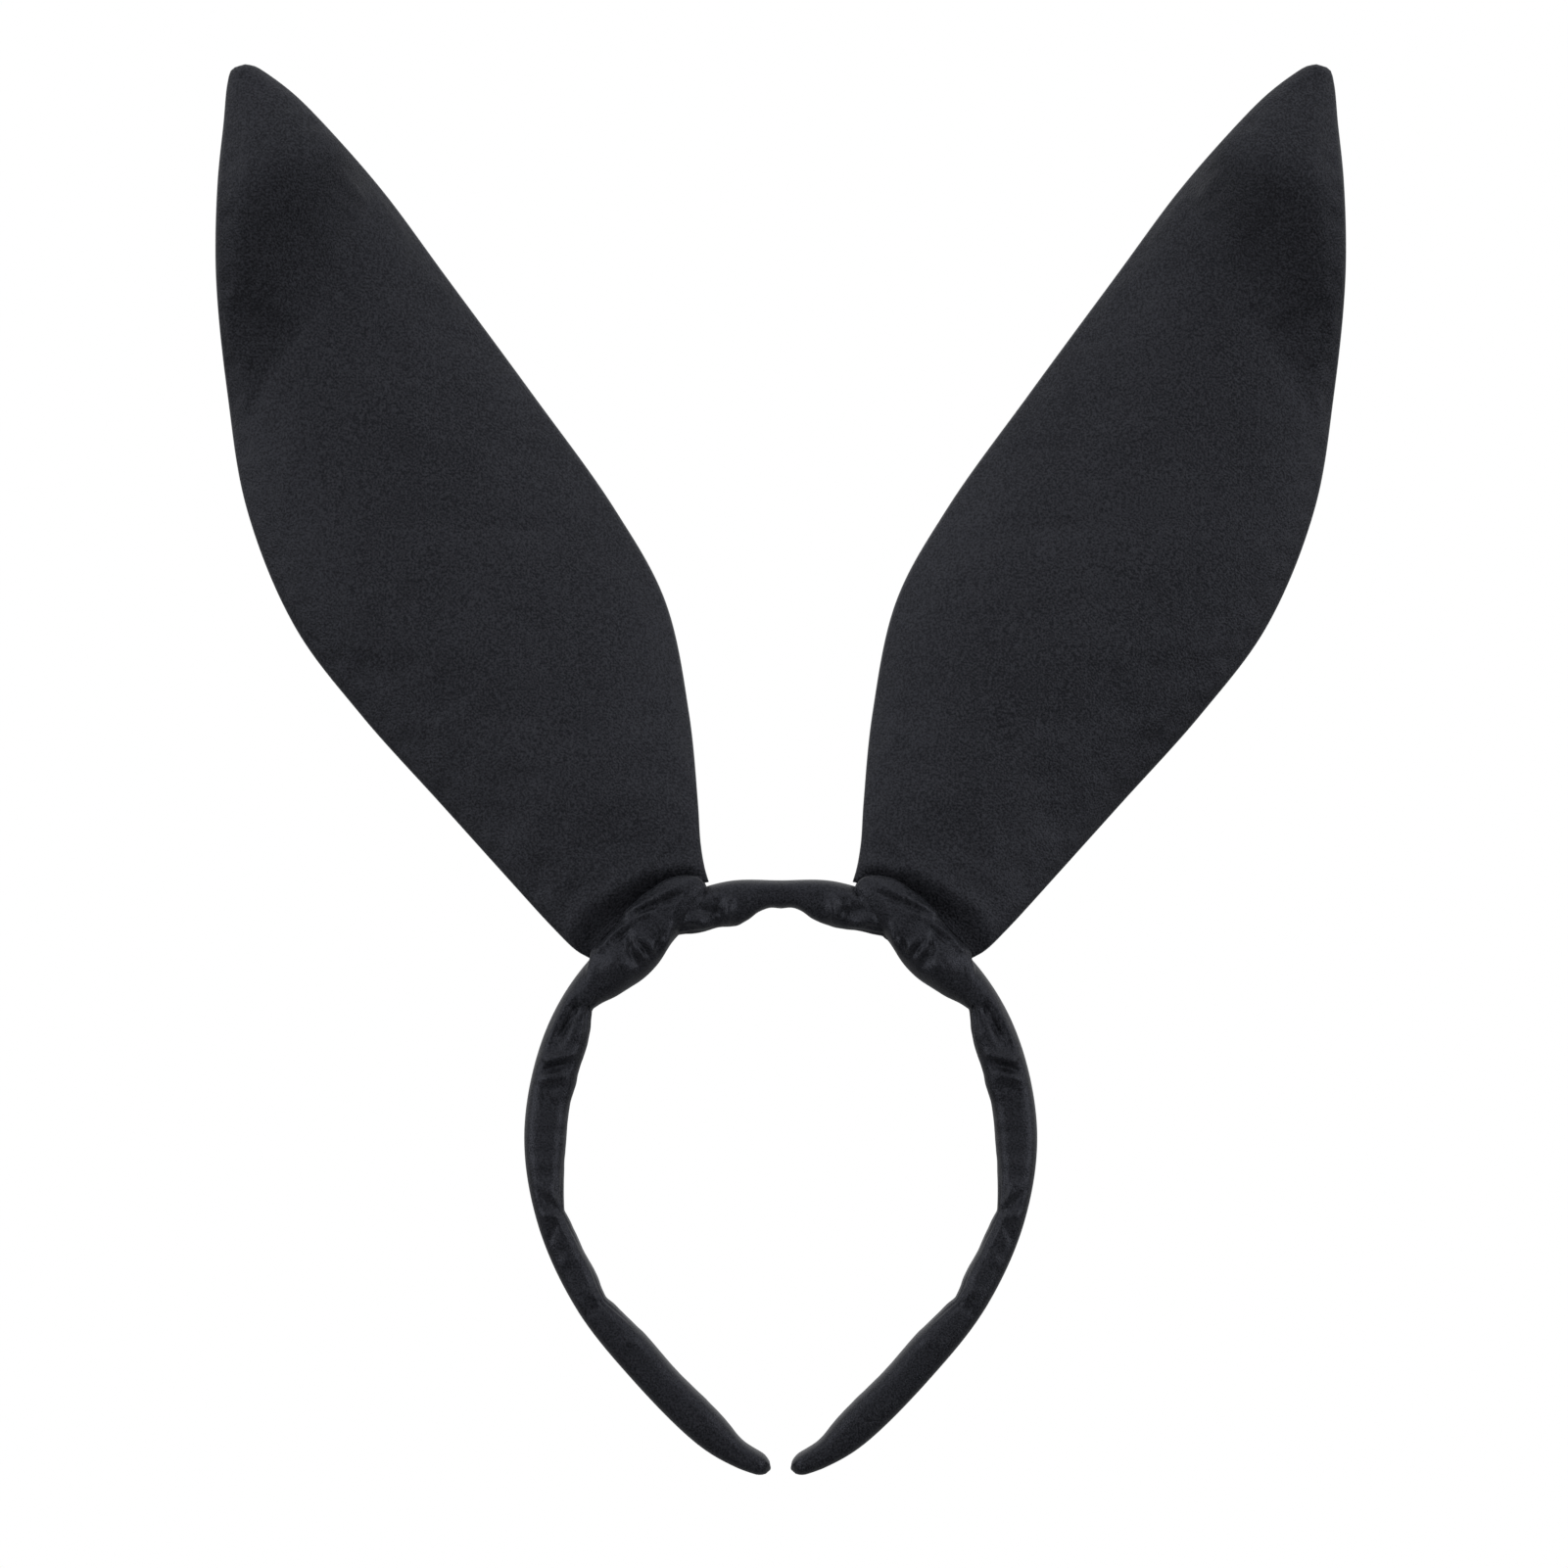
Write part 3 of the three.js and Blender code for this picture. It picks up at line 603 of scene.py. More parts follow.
def cover_tube(s, phi):
    """The cover without its folds, at distances along the hoop and angles round it."""
    square = smoothstep(*SQUARE_LEG, np.abs(s)) + 1 - smoothstep(*SQUARE_CROWN, np.abs(s))
    power = 2 / (COVER_ROUNDNESS + EXTRA_SQUARENESS * square)
    scale = np.maximum(quarter_round(from_tip(s)), LEAST_TIP_SCALE)
    thickness = cover_thickness(s) - THINNER_UNDER_WRAP * under_wrap(s, 1)
    flat = hoop.point(s, thickness / 2 * (1 - signed_power(np.cos(phi), power) * scale))
    taper = smoothstep(hoop.half - TIP_TAPER[0], hoop.half - TIP_TAPER[1], np.abs(s))
    leg_depth = COVER_DEPTH * (DEPTH_SHARE - FLATTER_UNDER_WRAP * under_wrap(s, 0.5))
    half_depth = leg_depth * (1 - taper) + COVER_TIP_DEPTH * taper
    return with_depth(flat, -half_depth * signed_power(np.sin(phi), power) * scale)


def cover_relief(s, phi, points):
    """How far the folds, pleats and ripples stand out of the cover, and the seam lies in it."""
    inner = (1 - np.cos(phi)) / 2
    slack = smoothstep(*LOOSE_SIDE, inner)
    folds = fold_height(-np.abs(points[..., 0]), points[..., 2], COVER_FOLDS)
    rise = folds * front_strength(phi) * slack * (1 - FOLDS_LOST_INSIDE * smoothstep(*INNER_EDGE, inner))
    for place, reach, height in PINCHES:
        pleats = np.sin(PLEATS_AROUND * phi + PLEAT_TURN * place + PLEAT_SWAY * np.sin(2 * phi))
        rise += height * bell(np.abs(s) - place, reach) * smoothstep(*PLEATED_SIDE, inner) * pleats
    calm = 1 - CALM_LOSS * smoothstep(*CALM_LEG, np.abs(s))
    around = phi / (2 * np.pi) * ROUND_COVER
    for slant, cells, seed, height in COVER_RIPPLES:
        ripple = value_noise(s, around + slant * np.sin(phi), RIPPLE_ORIGIN, cells, seed)
        rise += calm * slack * height * ripple
    rise -= SEAM_GROOVE * bell((phi - BACK_SEAM) * COVER_DEPTH, SEAM_GROOVE_WIDTH)
    return rise * smoothstep(0, 1, from_tip(s) * FOLDS_FROM_TIP)


def cover_surface(from_along, to_along):
    """The gathered satin tube between two places on the hoop: rings of points, rows by columns by 3."""
    count = int(abs(to_along - from_along) / COVER_STEP) + 1
    along = np.linspace(from_along, to_along, count)
    angle = np.arange(COVER_AROUND) / COVER_AROUND * 2 * np.pi
    s, phi = np.meshgrid(along, angle, indexing="ij")
    points = cover_tube(s, phi)
    normal = outward_normals(points, wrap=True)
    return points + normal * cover_relief(s, phi, points)[..., None]


def stitch_points(start, end, out):
    """One stitch: rings of thread over the seam from start to end."""
    angles = np.arange(STITCH_SIDES) / STITCH_SIDES * 2 * np.pi
    ahead = (end - start) / np.linalg.norm(end - start)
    across = np.cross(ahead, out)
    circle = np.cos(angles)[:, None] * out + np.sin(angles)[:, None] * across
    rings = []
    for share, thick in STITCH_SHAPE:
        centre = start + (end - start) * share + out * (THREAD_RADIUS * thick - SEAM_GROOVE * STITCH_SINK)
        rings += list(centre + circle * THREAD_RADIUS * thick)
    return rings


def seam_stitches(name, points, side):
    """Slanting hand stitches over the seam down the back of a hoop cover."""
    seam = round(BACK_SEAM / (2 * np.pi) * COVER_AROUND)
    normal = outward_normals(points, wrap=True)
    vertices, faces = [], []
    for row in range(STITCH_SPACING, len(points) - 2 * STITCH_SPACING, STITCH_SPACING):
        first = len(vertices)
        start, end = points[row, seam - STITCH_REACH], points[row + 1, seam + STITCH_REACH]
        vertices += stitch_points(start, end, normal[row, seam])
        faces += grid_faces(len(STITCH_SHAPE), STITCH_SIDES, wrap=True, start=first)
        faces.append(tuple(range(first, first + STITCH_SIDES))[::-1])
        faces.append(tuple(range(len(vertices) - STITCH_SIDES, len(vertices))))
    if side < 0:
        faces = flip(faces)
    return mesh_object(name, mirrored(vertices, side), faces)


# ---- ears
class Ear:
    """The left ear's surface: rows run from the base (0) to the tip (1), columns from -1 to 1."""

    def __init__(self):
        self.edges = [catmull(EAR_OUTER_EDGE), catmull(EAR_INNER_EDGE)]
        self.lengths = [lengths_along(edge) for edge in self.edges]
        self.height = self.lengths[0][-1]
        self.streak = catmull(STREAK, COARSE_STEPS)

    def edge(self, which, share):
        lengths = self.lengths[which]
        return at_length(self.edges[which], lengths, share * lengths[-1])

    def flat(self, row, column):
        """Points in the XZ plane, and the row's width there."""
        outer, inner = self.edge(0, row), self.edge(1, row)
        mix = ((column + 1) / 2)[..., None]
        bulge = BASE_BULGE * np.exp(-row * BASE_BULGE_FADE) * (1 - column ** 2)
        point = outer * (1 - mix) + inner * mix + bulge[..., None] * HINGE_OUT
        return point, np.linalg.norm(inner - outer, axis=-1)

    def middle_depth(self, row, column):
        """How far the ear's middle surface stands back (+) or forward (-) as the wire is bent."""
        forward_start = FORWARD_START + FORWARD_SLANT * (column - FORWARD_COLUMN)
        back = EAR_LEAN_BACK * smoothstep(*LEAN_BACK_ROWS, row)
        forward = EAR_LEAN_FORWARD * smoothstep(forward_start, FORWARD_END, row)
        curl = TIP_CURL * smoothstep(*TIP_CURL_ROWS, row)
        inner = EAR_CUP_INNER * np.clip(column, 0, 1) ** CUP_INNER_POWER
        outer = EAR_CUP_OUTER * np.clip(-column, 0, 1) ** CUP_OUTER_POWER
        cupped = smoothstep(*CUP_START_ROWS, row) * (1 - smoothstep(*CUP_END_ROWS, row))
        return back - forward + curl + (inner + outer) * cupped

    def half_thickness(self, row, column):
        """Half the stuffed ear's thickness, rounded at the seam and stepped in above the wrap."""
        point, width = self.flat(row, column)
        from_edge = np.clip((1 - np.abs(column)) * width / 2, 0, None)
        edge = quarter_round(np.clip(from_edge / EDGE_ROUNDING, 0, 1))
        crown = EAR_CROWN * (1 - np.abs(column) ** CROWN_POWER) * np.clip(width / CROWN_WIDTH, 0, 1)
        full = EAR_HALF_THICKNESS + crown
        above = self.above_streak(point)
        roll = ROLL_HEIGHT * bell(above - ROLL_AT, ROLL_WIDTH)
        step = smoothstep(*BASE_STEP, above)
        return edge * (BASE_HALF_THICKNESS + (full - BASE_HALF_THICKNESS) * step + roll)

    def above_streak(self, point):
        """How far a point of the XZ plane is above the rolled lower edge, away from the hoop."""
        along = (point - EAR_HINGE) @ HINGE_ALONG
        out = (point - EAR_HINGE) @ HINGE_OUT
        return out - np.interp(along, self.streak[:, 0], self.streak[:, 1])


ear = Ear()


def ear_grid(rows, columns, start=0.0, end=1.0, reach=1.0):
    """Row and column coordinates, closer together at the ear's edges."""
    row = np.linspace(start, end, rows)
    even = np.linspace(-1, 1, columns)
    column = np.sin(even * np.pi / 2) * EDGE_CROWDING + even * (1 - EDGE_CROWDING)
    return np.meshgrid(row, column * reach, indexing="ij")


def ear_panel_points(face, row, column):
    """One cloth panel as it is sewn: face is -1 for the front and 1 for the back."""
    flat, width = ear.flat(row, column)
    from_edge = (1 - np.abs(column)) * width / 2
    out = (flat - EAR_HINGE) @ HINGE_OUT
    sideways = (flat - EAR_HINGE) @ HINGE_ALONG
    turns = row * ear.height * 2 * np.pi / PUCKER_PITCH + PUCKER_SHIFT * np.sign(column)
    pucker = PUCKER_HEIGHT * np.sin(turns) * bell(from_edge - PUCKER_AT, PUCKER_WIDTH)
    gathers = GATHERS_HEIGHT * value_noise(sideways, out, *GATHERS_NOISE)
    gathers *= np.exp(-np.clip(out, 0, None) / GATHERS_FADE)
    origin, cells, seed = WAVES_NOISE
    waves = WAVES_HEIGHT * value_noise(sideways, out, origin, cells, seed + face)
    creases = fold_height(flat[..., 0], flat[..., 1], EAR_FOLDS)
    detail = (pucker + gathers + waves + creases) * np.clip(from_edge / RELIEF_FROM_EDGE, 0, 1)
    detail *= smoothstep(*RELIEF_FROM_BASE, ear.above_streak(flat))
    depth = PANEL_GAP + ear.half_thickness(row, column) + detail
    return with_depth(flat, ear.middle_depth(row, column) + face * depth)


def held_share(row, column):
    """How firmly each point of a panel is held: by the seam, by the wrap and softly by the padding."""
    flat, width = ear.flat(row, column)
    from_seam = np.minimum((1 - np.abs(column)) * width / 2, (row.max() - row) * ear.height)
    by_seam = 1 - smoothstep(*SEAM_HOLD, from_seam)
    by_wrap = 1 - smoothstep(*WRAP_HOLD, ear.above_streak(flat))
    return PAD_HOLD + (1 - PAD_HOLD) * np.maximum(by_seam, by_wrap)


def cloth_envelope(start, held):
    """Both panels as one object with a Cloth modifier, held as much as given at each point."""
    rows, columns = held.shape
    faces = grid_faces(rows, columns) + flip(grid_faces(rows, columns, start=rows * columns))
    envelope = mesh_object("ear_envelope", start.reshape(-1, 3), faces)
    group = envelope.vertex_groups.new(name="held")
    for index, share in enumerate(np.tile(held.ravel(), 2)):
        group.add([index], float(share), "REPLACE")
    cloth = envelope.modifiers.new("cloth", "CLOTH")
    for name, value in CLOTH_SETTINGS.items():
        setattr(cloth.settings, name, value)
    cloth.settings.vertex_group_mass = group.name
    cloth.settings.effector_weights.gravity = 0
    cloth.collision_settings.use_collision = False
    cloth.point_cache.frame_end = CLOTH_FRAMES
    return envelope


def settled_moves(row, column):
    """How far a short cloth simulation moves both panels: the padding fills the loose cloth out."""
    start = np.array([ear_panel_points(face, row, column) for face in (-1, 1)])
    envelope = cloth_envelope(start, held_share(row, column))
    for number in range(1, CLOTH_FRAMES + 1):
        bpy.context.scene.frame_set(number)
    settled = envelope.evaluated_get(bpy.context.evaluated_depsgraph_get()).data
    points = np.empty(len(settled.vertices) * 3)
    settled.vertices.foreach_get("co", points)
    bpy.data.objects.remove(envelope)
    bpy.context.scene.frame_set(1)
    moves = (points / MM).reshape(start.shape) - start
    length = np.linalg.norm(moves, axis=-1, keepdims=True)
    return moves * np.minimum(1, CLOTH_FURTHEST / np.maximum(length, TINY))


def resampled(moves, row, column, fine_row, fine_column):
    """Moves known at a coarse grid's rows and columns, read off at a finer grid's."""
    def read_off(line, wanted, known):
        return np.interp(wanted, known, line)

    by_row = np.apply_along_axis(read_off, 0, moves, fine_row[:, 0], row[:, 0])
    return np.apply_along_axis(read_off, 1, by_row, fine_column[0], column[0])


def ear_panels():
    row, column = ear_grid(EAR_ROWS, EAR_COLUMNS)
    panels = [ear_panel_points(face, row, column) for face in (-1, 1)]
    coarse = ear_grid(CLOTH_ROWS, CLOTH_COLUMNS, end=CLOTH_TOP_ROW)
    return [panel + resampled(moves, *coarse, row, column)
            for panel, moves in zip(panels, settled_moves(*coarse))]


def grid_border(rows, columns):
    """The indices of a grid's border points, once round."""
    border = list(range(columns))
    border += [k * columns + columns - 1 for k in range(1, rows)]
    border += [(rows - 1) * columns + k for k in range(columns - 2, -1, -1)]
    border += [k * columns for k in range(rows - 2, 0, -1)]
    return border


def make_ear_foam(name, side):
    """The interlining: a soft flat pad inside the ear, following its bend."""
    row, column = ear_grid(PAD_ROWS, PAD_COLUMNS, PAD_BOTTOM, PAD_TOP, PAD_REACH)
    flat, _ = ear.flat(row, column)
    rim = np.clip((PAD_REACH - np.abs(column)) / PAD_RIM, 0, 1)
    ends = np.clip(np.minimum(row - PAD_BOTTOM, PAD_TOP - row) / PAD_END_RIM, 0, 1)
    half = PAD_HALF_THICKNESS * quarter_round(rim) * quarter_round(ends) + PAD_RIM_HALF
    y = ear.middle_depth(row, column)
    front = with_depth(flat, y - half).reshape(-1, 3)
    back = with_depth(flat, y + half).reshape(-1, 3)
    count = len(front)
    faces = flip(grid_faces(PAD_ROWS, PAD_COLUMNS)) + grid_faces(PAD_ROWS, PAD_COLUMNS, start=count)
    border = grid_border(PAD_ROWS, PAD_COLUMNS)
    for a, b in zip(border, border[1:] + border[:1]):
        faces.append((a, b, b + count, a + count))
    return mesh_object(name, mirrored(np.vstack([front, back]), side), faces)


def wire_rod(name, path, side):
    """A round wire along a list of points, with rounded ends."""
    path = mirrored(path, side)
    tangent = np.gradient(path, axis=0)
    tangent /= np.linalg.norm(tangent, axis=1, keepdims=True)
    angles = np.arange(WIRE_SIDES) / WIRE_SIDES * 2 * np.pi
    end_length, end_width = WIRE_END
    normal = np.array([0.0, 1.0, 0.0])
    rings = []
    for k, (point, ahead) in enumerate(zip(path, tangent)):
        normal = normal - ahead * (normal @ ahead)
        normal /= np.linalg.norm(normal)
        across = np.cross(ahead, normal)
        circle = WIRE_RADIUS * (np.cos(angles)[:, None] * normal + np.sin(angles)[:, None] * across)
        if k == 0:
            rings.append(point - ahead * WIRE_RADIUS * end_length + circle * end_width)
        rings.append(point + circle)
        if k == len(path) - 1:
            rings.append(point + ahead * WIRE_RADIUS * end_length + circle * end_width)
    return tube(name, np.array(rings), cap_start=True, cap_end=True)


def wire_side(sign):
    """The wire just inside one of the ear's edges, from the base up."""
    row = np.linspace(*WIRE_ROWS)
    _, width = ear.flat(row, np.zeros_like(row))
    column = sign * np.clip(1 - 2 * WIRE_INSET / width, 0, 1)
    flat, _ = ear.flat(row, column)
    return with_depth(flat, ear.middle_depth(row, column))


def wire_foot(along, out):
    """A point of the wire's foot, at distances along the hinge line and out from it."""
    return np.insert(EAR_HINGE + HINGE_ALONG * along + HINGE_OUT * out, 1, 0)


def ear_wire_path():
    """Just inside the ear's edge: up the outer side, round the tip and down to the hinge line."""
    low, high = WIRE_FOOT_OUT
    start = [wire_foot(-WIRE_FOOT_ALONG, low), wire_foot(-WIRE_FOOT_ALONG, high)]
    end = [wire_foot(WIRE_FOOT_ALONG, high), wire_foot(WIRE_FOOT_ALONG, low)]
    top_depth = float(ear.middle_depth(np.array(WIRE_TOP_ROW), np.array(0.0)))
    top = np.array([[WIRE_TOP[0], top_depth, WIRE_TOP[1]]])
    return catmull(np.vstack([start, wire_side(-1), top, wire_side(1)[::-1], end]), WIRE_STEPS)


# ---- the satin wrap at each ear's base
def wrap_section(along, lip):
    """The wrap's front half in one hoop section, from inside its top lip round to the inner edge."""
    thick = float(cover_thickness(along + WRAP_SHEAR))
    front = COVER_DEPTH + WRAP_LIFT
    over_lip = [(inward - lip, out) for inward, out in LIP_SECTION]
    shoulder = [(SHOULDER[0] * thick - SHOULDER[1] * lip, SHOULDER[2] * front)]
    round_hoop = [(share * thick, depth * front) for share, depth in ROUND_SECTION]
    return catmull(over_lip + shoulder + round_hoop, SECTION_STEPS)


def cover_section(along, count):
    """The cover's own front half beside the wrap's end, a little under its surface."""
    thick = float(cover_thickness(along + WRAP_SHEAR))
    angle = np.linspace(TUCKED_FROM_ANGLE, np.pi, count)
    power = 2 / COVER_ROUNDNESS
    inward = thick / 2 - (thick / 2 - TUCKED_IN) * signed_power(np.cos(angle), power)
    depth = (COVER_DEPTH * DEPTH_SHARE - TUCKED_FLATTER) * np.abs(np.sin(angle)) ** power
    return np.stack([inward, depth], -1)


def wrap_row(along, lip):
    """One row of the wrap's points, from its front lip round the hoop to its back lip."""
    full = wrap_section(along, lip)
    tucked = cover_section(along, len(full))
    lip_to_round = smoothstep(*LIP_TO_ROUND, np.linspace(0, 1, len(full)))
    tuck = LIP_TUCK + (WRAP_TUCK - LIP_TUCK) * lip_to_round
    free = smoothstep(0, tuck, min(along - WRAP_START, WRAP_END - along))[:, None]
    half = tucked * (1 - free) + full * free
    section = np.vstack([half * (1, -1), half[-2::-1]])
    slide = along + WRAP_SHEAR * np.clip(section[:, 0] / section[:, 0].max(), 0, 1)
    flat = hoop.point(-slide, section[:, 0])
    return with_depth(flat, section[:, 1])


def wrap_surface():
    """The wrap's sheet: rows along the hoop, columns round it from the front lip to the back lip."""
    along = np.linspace(WRAP_START, WRAP_END, WRAP_ROWS)
    lips = np.interp(along, *catmull(RIDGE, COARSE_STEPS).T)
    points = np.array([wrap_row(s, lip) for s, lip in zip(along, lips)])
    x, y, z = np.moveaxis(points, -1, 0)
    strength = smoothstep(*WRAP_FRONT, -y) + WRAP_FOLDS_BEHIND * smoothstep(*WRAP_FRONT, y)
    rise = fold_height(x, z, WRAP_FOLDS) * strength
    rise += WRAP_RIPPLE_HEIGHT * value_noise(x, z + y, *WRAP_RIPPLE_NOISE)
    row = np.arange(WRAP_ROWS)
    rise *= smoothstep(0, WRAP_CALM_ROWS, np.minimum(row, row[::-1]))[:, None]
    return points + outward_normals(points, wrap=False) * (rise + CLOTH_THICKNESS)[..., None]


# ---- materials
def new_material(name):
    material = bpy.data.materials.new(name)
    material.use_nodes = True
    tree = material.node_tree
    tree.nodes.clear()
    output = tree.nodes.new("ShaderNodeOutputMaterial")
    shader = tree.nodes.new("ShaderNodeBsdfPrincipled")
    tree.links.new(shader.outputs["BSDF"], output.inputs["Surface"])
    return material, tree, shader


def add_node(tree, kind, inputs=(), **settings):
    node = tree.nodes.new(kind)
    for key, value in settings.items():
        setattr(node, key, value)
    for key, value in dict(inputs).items():
        if isinstance(value, bpy.types.NodeSocket):
            tree.links.new(value, node.inputs[key])
        else:
            node.inputs[key].default_value = value
    return node


def calculate(tree, operation, *values):
    """The result of a Math node. Values are numbers or other nodes' outputs."""
    return add_node(tree, "ShaderNodeMath", dict(enumerate(values)), operation=operation).outputs[0]


def noise(tree, place, scale, detail):
    inputs = {"Vector": place, "Scale": scale, "Detail": detail}
    return add_node(tree, "ShaderNodeTexNoise", inputs).outputs["Fac"]


def colour_by(tree, shader, factor, stops, colours):
    """The shader's colour goes from the first colour to the second between the two stops."""
    ramp = add_node(tree, "ShaderNodeValToRGB", {"Fac": factor})
    for element, stop, colour in zip(ramp.color_ramp.elements, stops, colours):
        element.position = stop
        element.color = (*colour, 1)
    tree.links.new(ramp.outputs["Color"], shader.inputs["Base Color"])


def bump_by(tree, shader, height, strength, depth):
    inputs = {"Height": height, "Strength": strength, "Distance": depth * MM}
    tree.links.new(add_node(tree, "ShaderNodeBump", inputs).outputs["Normal"], shader.inputs["Normal"])


def cloth_material(name, dark, light, roughness, grain, bump, sheen):
    """Woven black cloth: a fine grain, a weave, slow variations of colour and a soft sheen."""
    material, tree, shader = new_material(name)
    place = add_node(tree, "ShaderNodeTexCoord").outputs["Object"]
    pile = noise(tree, place, 1 / (grain * MM), 3.0)
    patch = noise(tree, place, PATCH_SCALE, 2.0)
    mixed = calculate(tree, "MULTIPLY", pile, 1 - PATCH_SHARE)
    mixed = calculate(tree, "MULTIPLY_ADD", patch, PATCH_SHARE, mixed)
    colour_by(tree, shader, mixed, PILE_STOPS, (dark, light))
    warp = add_node(
        tree, "ShaderNodeTexWave",
        {"Vector": place, "Scale": WEAVE_SCALE / (grain * MM), "Distortion": WEAVE_DISTORTION},
        wave_type="BANDS", bands_direction="DIAGONAL",
    ).outputs["Fac"]
    height = calculate(tree, "MULTIPLY_ADD", warp, WEAVE_SHARE, pile)
    bump_by(tree, shader, height, bump, CLOTH_RELIEF)
    low, high = roughness - ROUGHNESS_SPREAD, roughness + ROUGHNESS_SPREAD
    rough = add_node(tree, "ShaderNodeMapRange", {"Value": pile, "To Min": low, "To Max": high})
    tree.links.new(rough.outputs["Result"], shader.inputs["Roughness"])
    shader.inputs["Sheen Weight"].default_value = sheen
    for socket, value in CLOTH_SHINE.items():
        shader.inputs[socket].default_value = value
    return material


def plain_material(name, dark, light, roughness, scale, metallic):
    """Moulded plastic, foam or drawn wire: a mottled colour with a fine bump."""
    material, tree, shader = new_material(name)
    place = add_node(tree, "ShaderNodeTexCoord").outputs["Object"]
    mottle = noise(tree, place, scale, 4.0)
    colour_by(tree, shader, mottle, MOTTLE_STOPS, (dark, light))
    bump_by(tree, shader, mottle, MOTTLE_BUMP, MOTTLE_RELIEF)
    shader.inputs["Roughness"].default_value = roughness
    shader.inputs["Metallic"].default_value = metallic
    return material


satin = cloth_material("hoop_satin", *SATIN)
ear_cloth = cloth_material("ear_satin", *EAR_CLOTH)
foam_stuff = plain_material("foam", *FOAM)
spring_plastic = plain_material("spring_plastic", *SPRING_PLASTIC)
steel_wire = plain_material("steel_wire", *STEEL_WIRE)
soft_cap = plain_material("soft_cap", *SOFT_CAP)


def finish_piece(piece, material):
    piece.data.materials.clear()
    piece.data.materials.append(material)


# ---- building the headband
def xz(point, side):
    """A point of the left half's XZ plane, in millimetres, as a point of this side in metres."""
    return Vector((side * point[0] * MM, 0, point[1] * MM))


def make_cover(side_name, side):
    """One half of the hoop cover. The left half reaches past the crown to under the right wrap."""
    reach = side * COVER_SEAM_AT
    points = cover_surface(-hoop.half + END_GAP, reach)
    piece = tube(f"{side_name}_hoop_cover", points, side, cap_start=True)
    thicken(piece)
    thread = seam_stitches(f"{side_name}_hoop_stitches", points, side)
    start, end = (xz(hoop.point(-place, SECTION_MIDDLE), side) for place in LEG_BEND)
    for part in (piece, thread):
        finish_piece(part, satin)
        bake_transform(part)
    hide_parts(f"{side_name}_leg_cover")
    if side > 0:
        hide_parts("crown_cover")


def make_ear_cloth(side_name, side, panels):
    """The ear's two panels, front and back."""
    for face, word, points in zip((-1, 1), ("front", "back"), panels):
        panel = sheet_object(f"{side_name}_ear_{word}_panel", points, side, face)
        finish_piece(panel, ear_cloth)
        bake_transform(panel)
        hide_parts(f"{side_name}_ear_{word}")


def make_ear_inside(side_name, side):
    """The pad and the wire loop between the ear's panels."""
    body = f"{side_name}_ear"
    pad = make_ear_foam(f"{side_name}_ear_pad", side)
    finish_piece(pad, foam_stuff)
    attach(pad, body)
    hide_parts(f"{side_name}_ear_foam")
    wire = wire_rod(f"{side_name}_ear_wire_loop", ear_wire_path(), side)
    finish_piece(wire, steel_wire)
    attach(wire, body)
    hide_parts(f"{side_name}_ear_wire")


def make_ear_base_wrap(side_name, side):
    wrap = sheet_object(f"{side_name}_ear_base_wrap", wrap_surface(), side, 1)
    finish_piece(wrap, satin)
    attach(wrap, "crown")
    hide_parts(f"{side_name}_ear_wrap")


def dress_cad_parts(word, material):
    """Gives the CAD objects that stay, inside the covers, their materials."""
    for name, cad_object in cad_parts.items():
        if word in name:
            cad_object.data.materials.clear()
            cad_object.data.materials.append(material)


ear_cloths = ear_panels()
for side_name, side in SIDES.items():
    make_cover(side_name, side)
    make_ear_cloth(side_name, side, ear_cloths)
    make_ear_inside(side_name, side)
    make_ear_base_wrap(side_name, side)
for word, material in (("core", spring_plastic), ("coil", steel_wire), ("cap", soft_cap)):
    dress_cad_parts(word, material)


# ---- stage, light and camera
def make_camera():
    camera = add_object("camera", bpy.data.cameras.new("camera"))
    camera.data.lens = LENS
    camera.data.sensor_width = SENSOR
    distance = FRAME_WIDTH * LENS / SENSOR
    camera.location = (FRAME_CENTRE[0], -distance, FRAME_CENTRE[1])
    camera.rotation_euler = (math.pi / 2, 0, 0)
    camera.data.clip_end = CLIP_END
    bpy.context.scene.camera = camera


def white_where_seen(tree, lit, white, output):
    """Joins the lit shader to the output, and the white one where the camera looks."""
    seen = add_node(tree, "ShaderNodeLightPath").outputs["Is Camera Ray"]
    mix = add_node(tree, "ShaderNodeMixShader", {0: seen, 1: lit.outputs[0], 2: white.outputs[0]})
    tree.links.new(mix.outputs[0], output.inputs["Surface"])


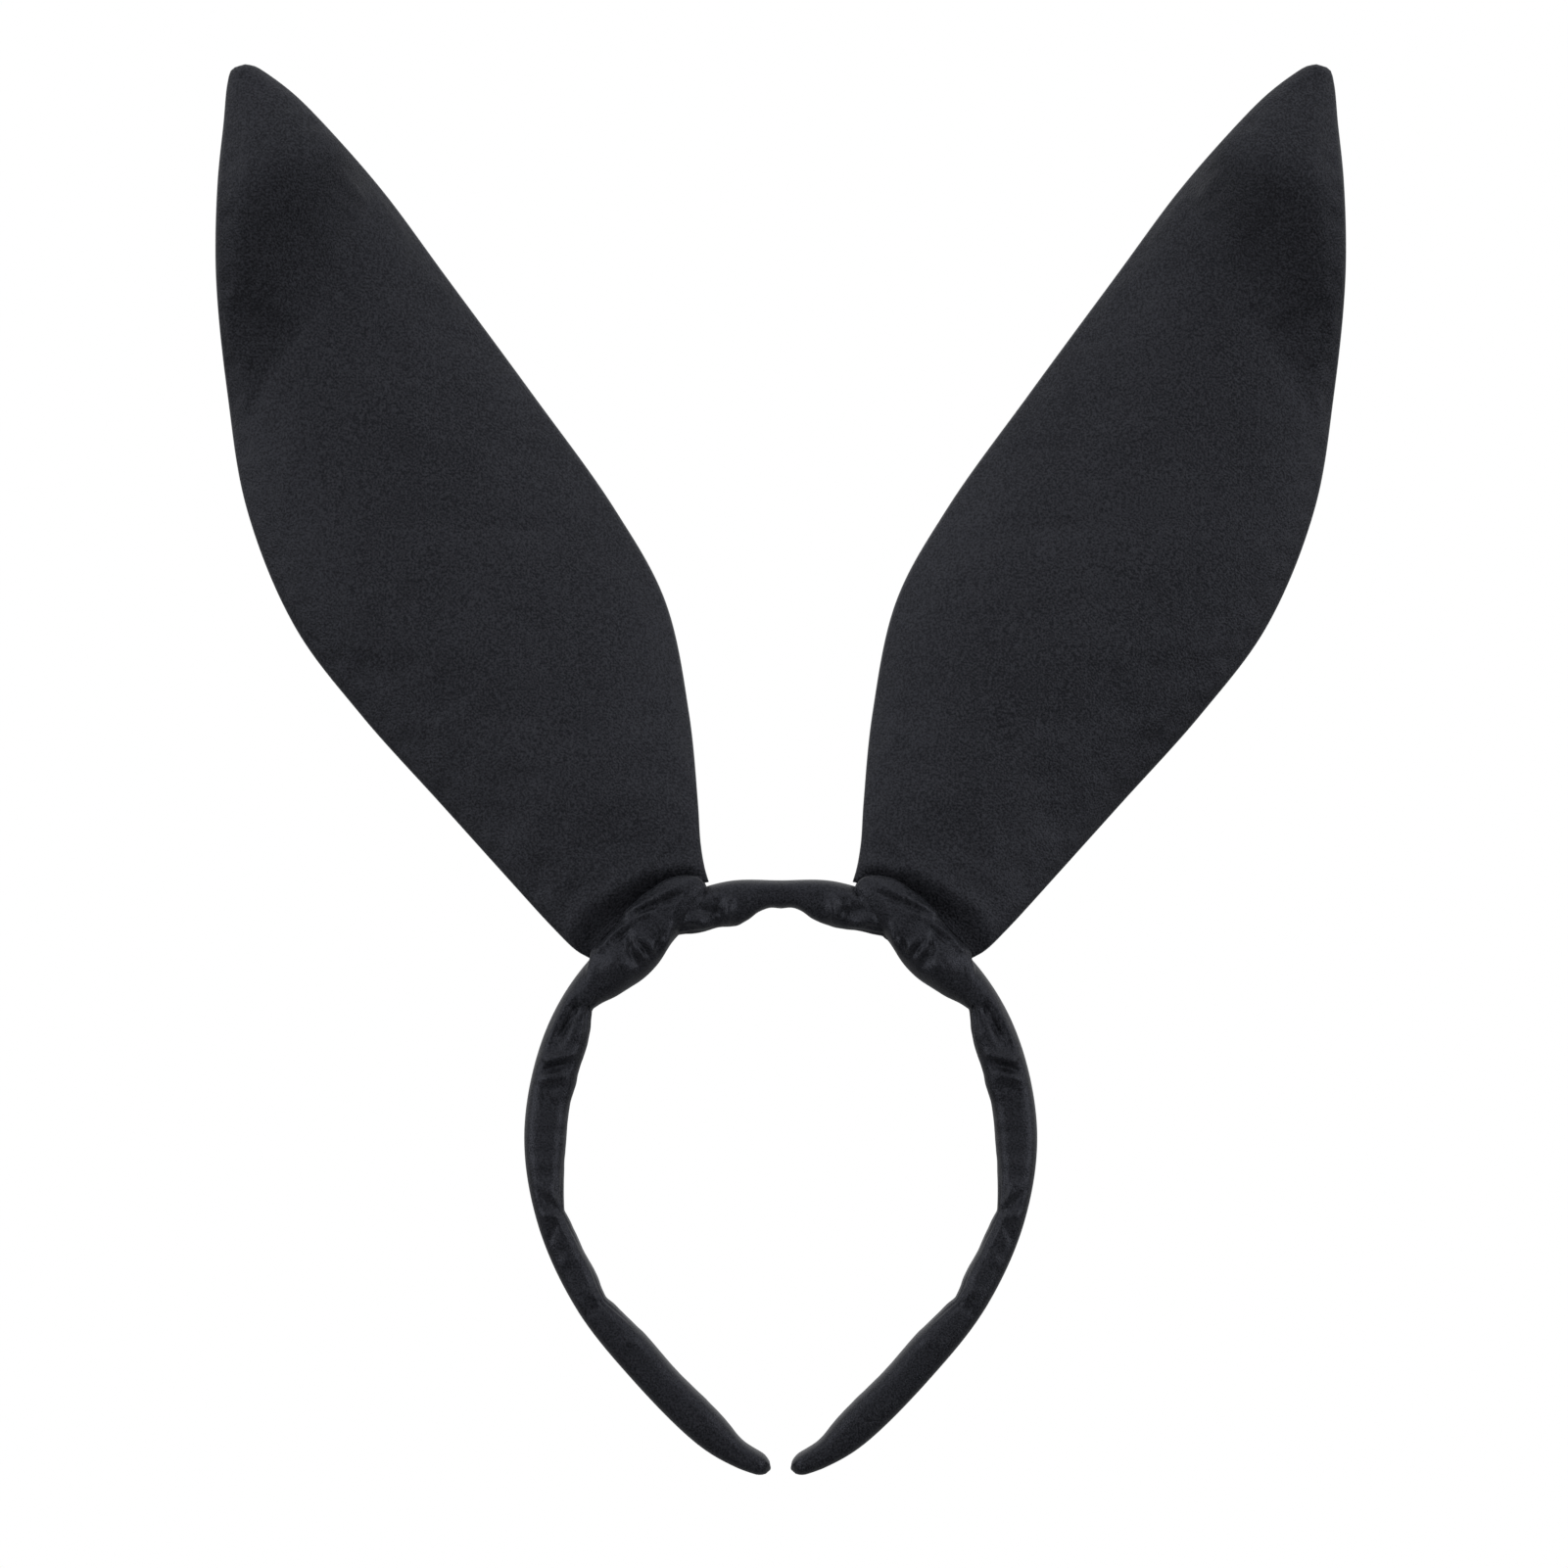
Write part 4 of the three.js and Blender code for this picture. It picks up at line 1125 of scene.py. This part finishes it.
def pale_floor_material():
    """A pale grey floor which is plain white where the camera sees it."""
    material, tree, shader = new_material("pale_floor")
    shader.inputs["Base Color"].default_value = (FLOOR_GREY, FLOOR_GREY, FLOOR_GREY, 1)
    shader.inputs["Roughness"].default_value = FLOOR_ROUGHNESS
    bright = add_node(tree, "ShaderNodeEmission", {"Color": (1, 1, 1, 1), "Strength": 1.0})
    output = next(node for node in tree.nodes if node.type == "OUTPUT_MATERIAL")
    white_where_seen(tree, shader, bright, output)
    return material


def make_floor():
    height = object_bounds()[0].z - FLOOR_DROP
    corners = [(-1, -1), (1, -1), (1, 1), (-1, 1)]
    points = [(x * FLOOR_HALF_SIZE, y * FLOOR_HALF_SIZE, height) for x, y in corners]
    mesh = bpy.data.meshes.new("floor")
    mesh.from_pydata(points, [], [(0, 1, 2, 3)])
    mesh.materials.append(pale_floor_material())
    floor = add_object("floor", mesh)


def area_light(name, location, target, size, power):
    light = bpy.data.lights.new(name, "AREA")
    light.shape = "RECTANGLE"
    light.size, light.size_y = size
    light.energy = power
    lamp = add_object(name, light)
    lamp.location = location
    lamp.rotation_euler = (Vector(target) - Vector(location)).to_track_quat("-Z", "Y").to_euler()


def side_glow(tree, axis, sign, power):
    """A part of the studio's light: strongest straight along one axis, and gone at right angles."""
    toward = calculate(tree, "MULTIPLY", axis, sign)
    facing = calculate(tree, "MAXIMUM", toward, 0.0)
    falloff = calculate(tree, "POWER", facing, GLOW_FALLOFF)
    return calculate(tree, "MULTIPLY", falloff, power)


def make_world():
    """A studio lit differently from each side, with a white background where the camera looks."""
    world = bpy.data.worlds.new("studio")
    bpy.context.scene.world = world
    world.use_nodes = True
    tree = world.node_tree
    tree.nodes.clear()
    output = tree.nodes.new("ShaderNodeOutputWorld")
    toward = add_node(tree, "ShaderNodeTexCoord").outputs["Generated"]
    axes = add_node(tree, "ShaderNodeSeparateXYZ", {"Vector": toward}).outputs
    strength = None
    for axis, sign, power in STUDIO_GLOW:
        glow = side_glow(tree, axes[axis], sign, power)
        if strength is not None:
            glow = calculate(tree, "ADD", strength, glow)
        strength = glow
    soft = add_node(tree, "ShaderNodeBackground", {"Color": (1, 1, 1, 1), "Strength": strength})
    white = add_node(tree, "ShaderNodeBackground", {"Color": (1, 1, 1, 1), "Strength": 1.0})
    white_where_seen(tree, soft, white, output)


make_camera()
make_floor()
make_world()
for light in STUDIO_LIGHTS:
    area_light(*light)
bpy.context.scene.view_settings.view_transform = "Standard"
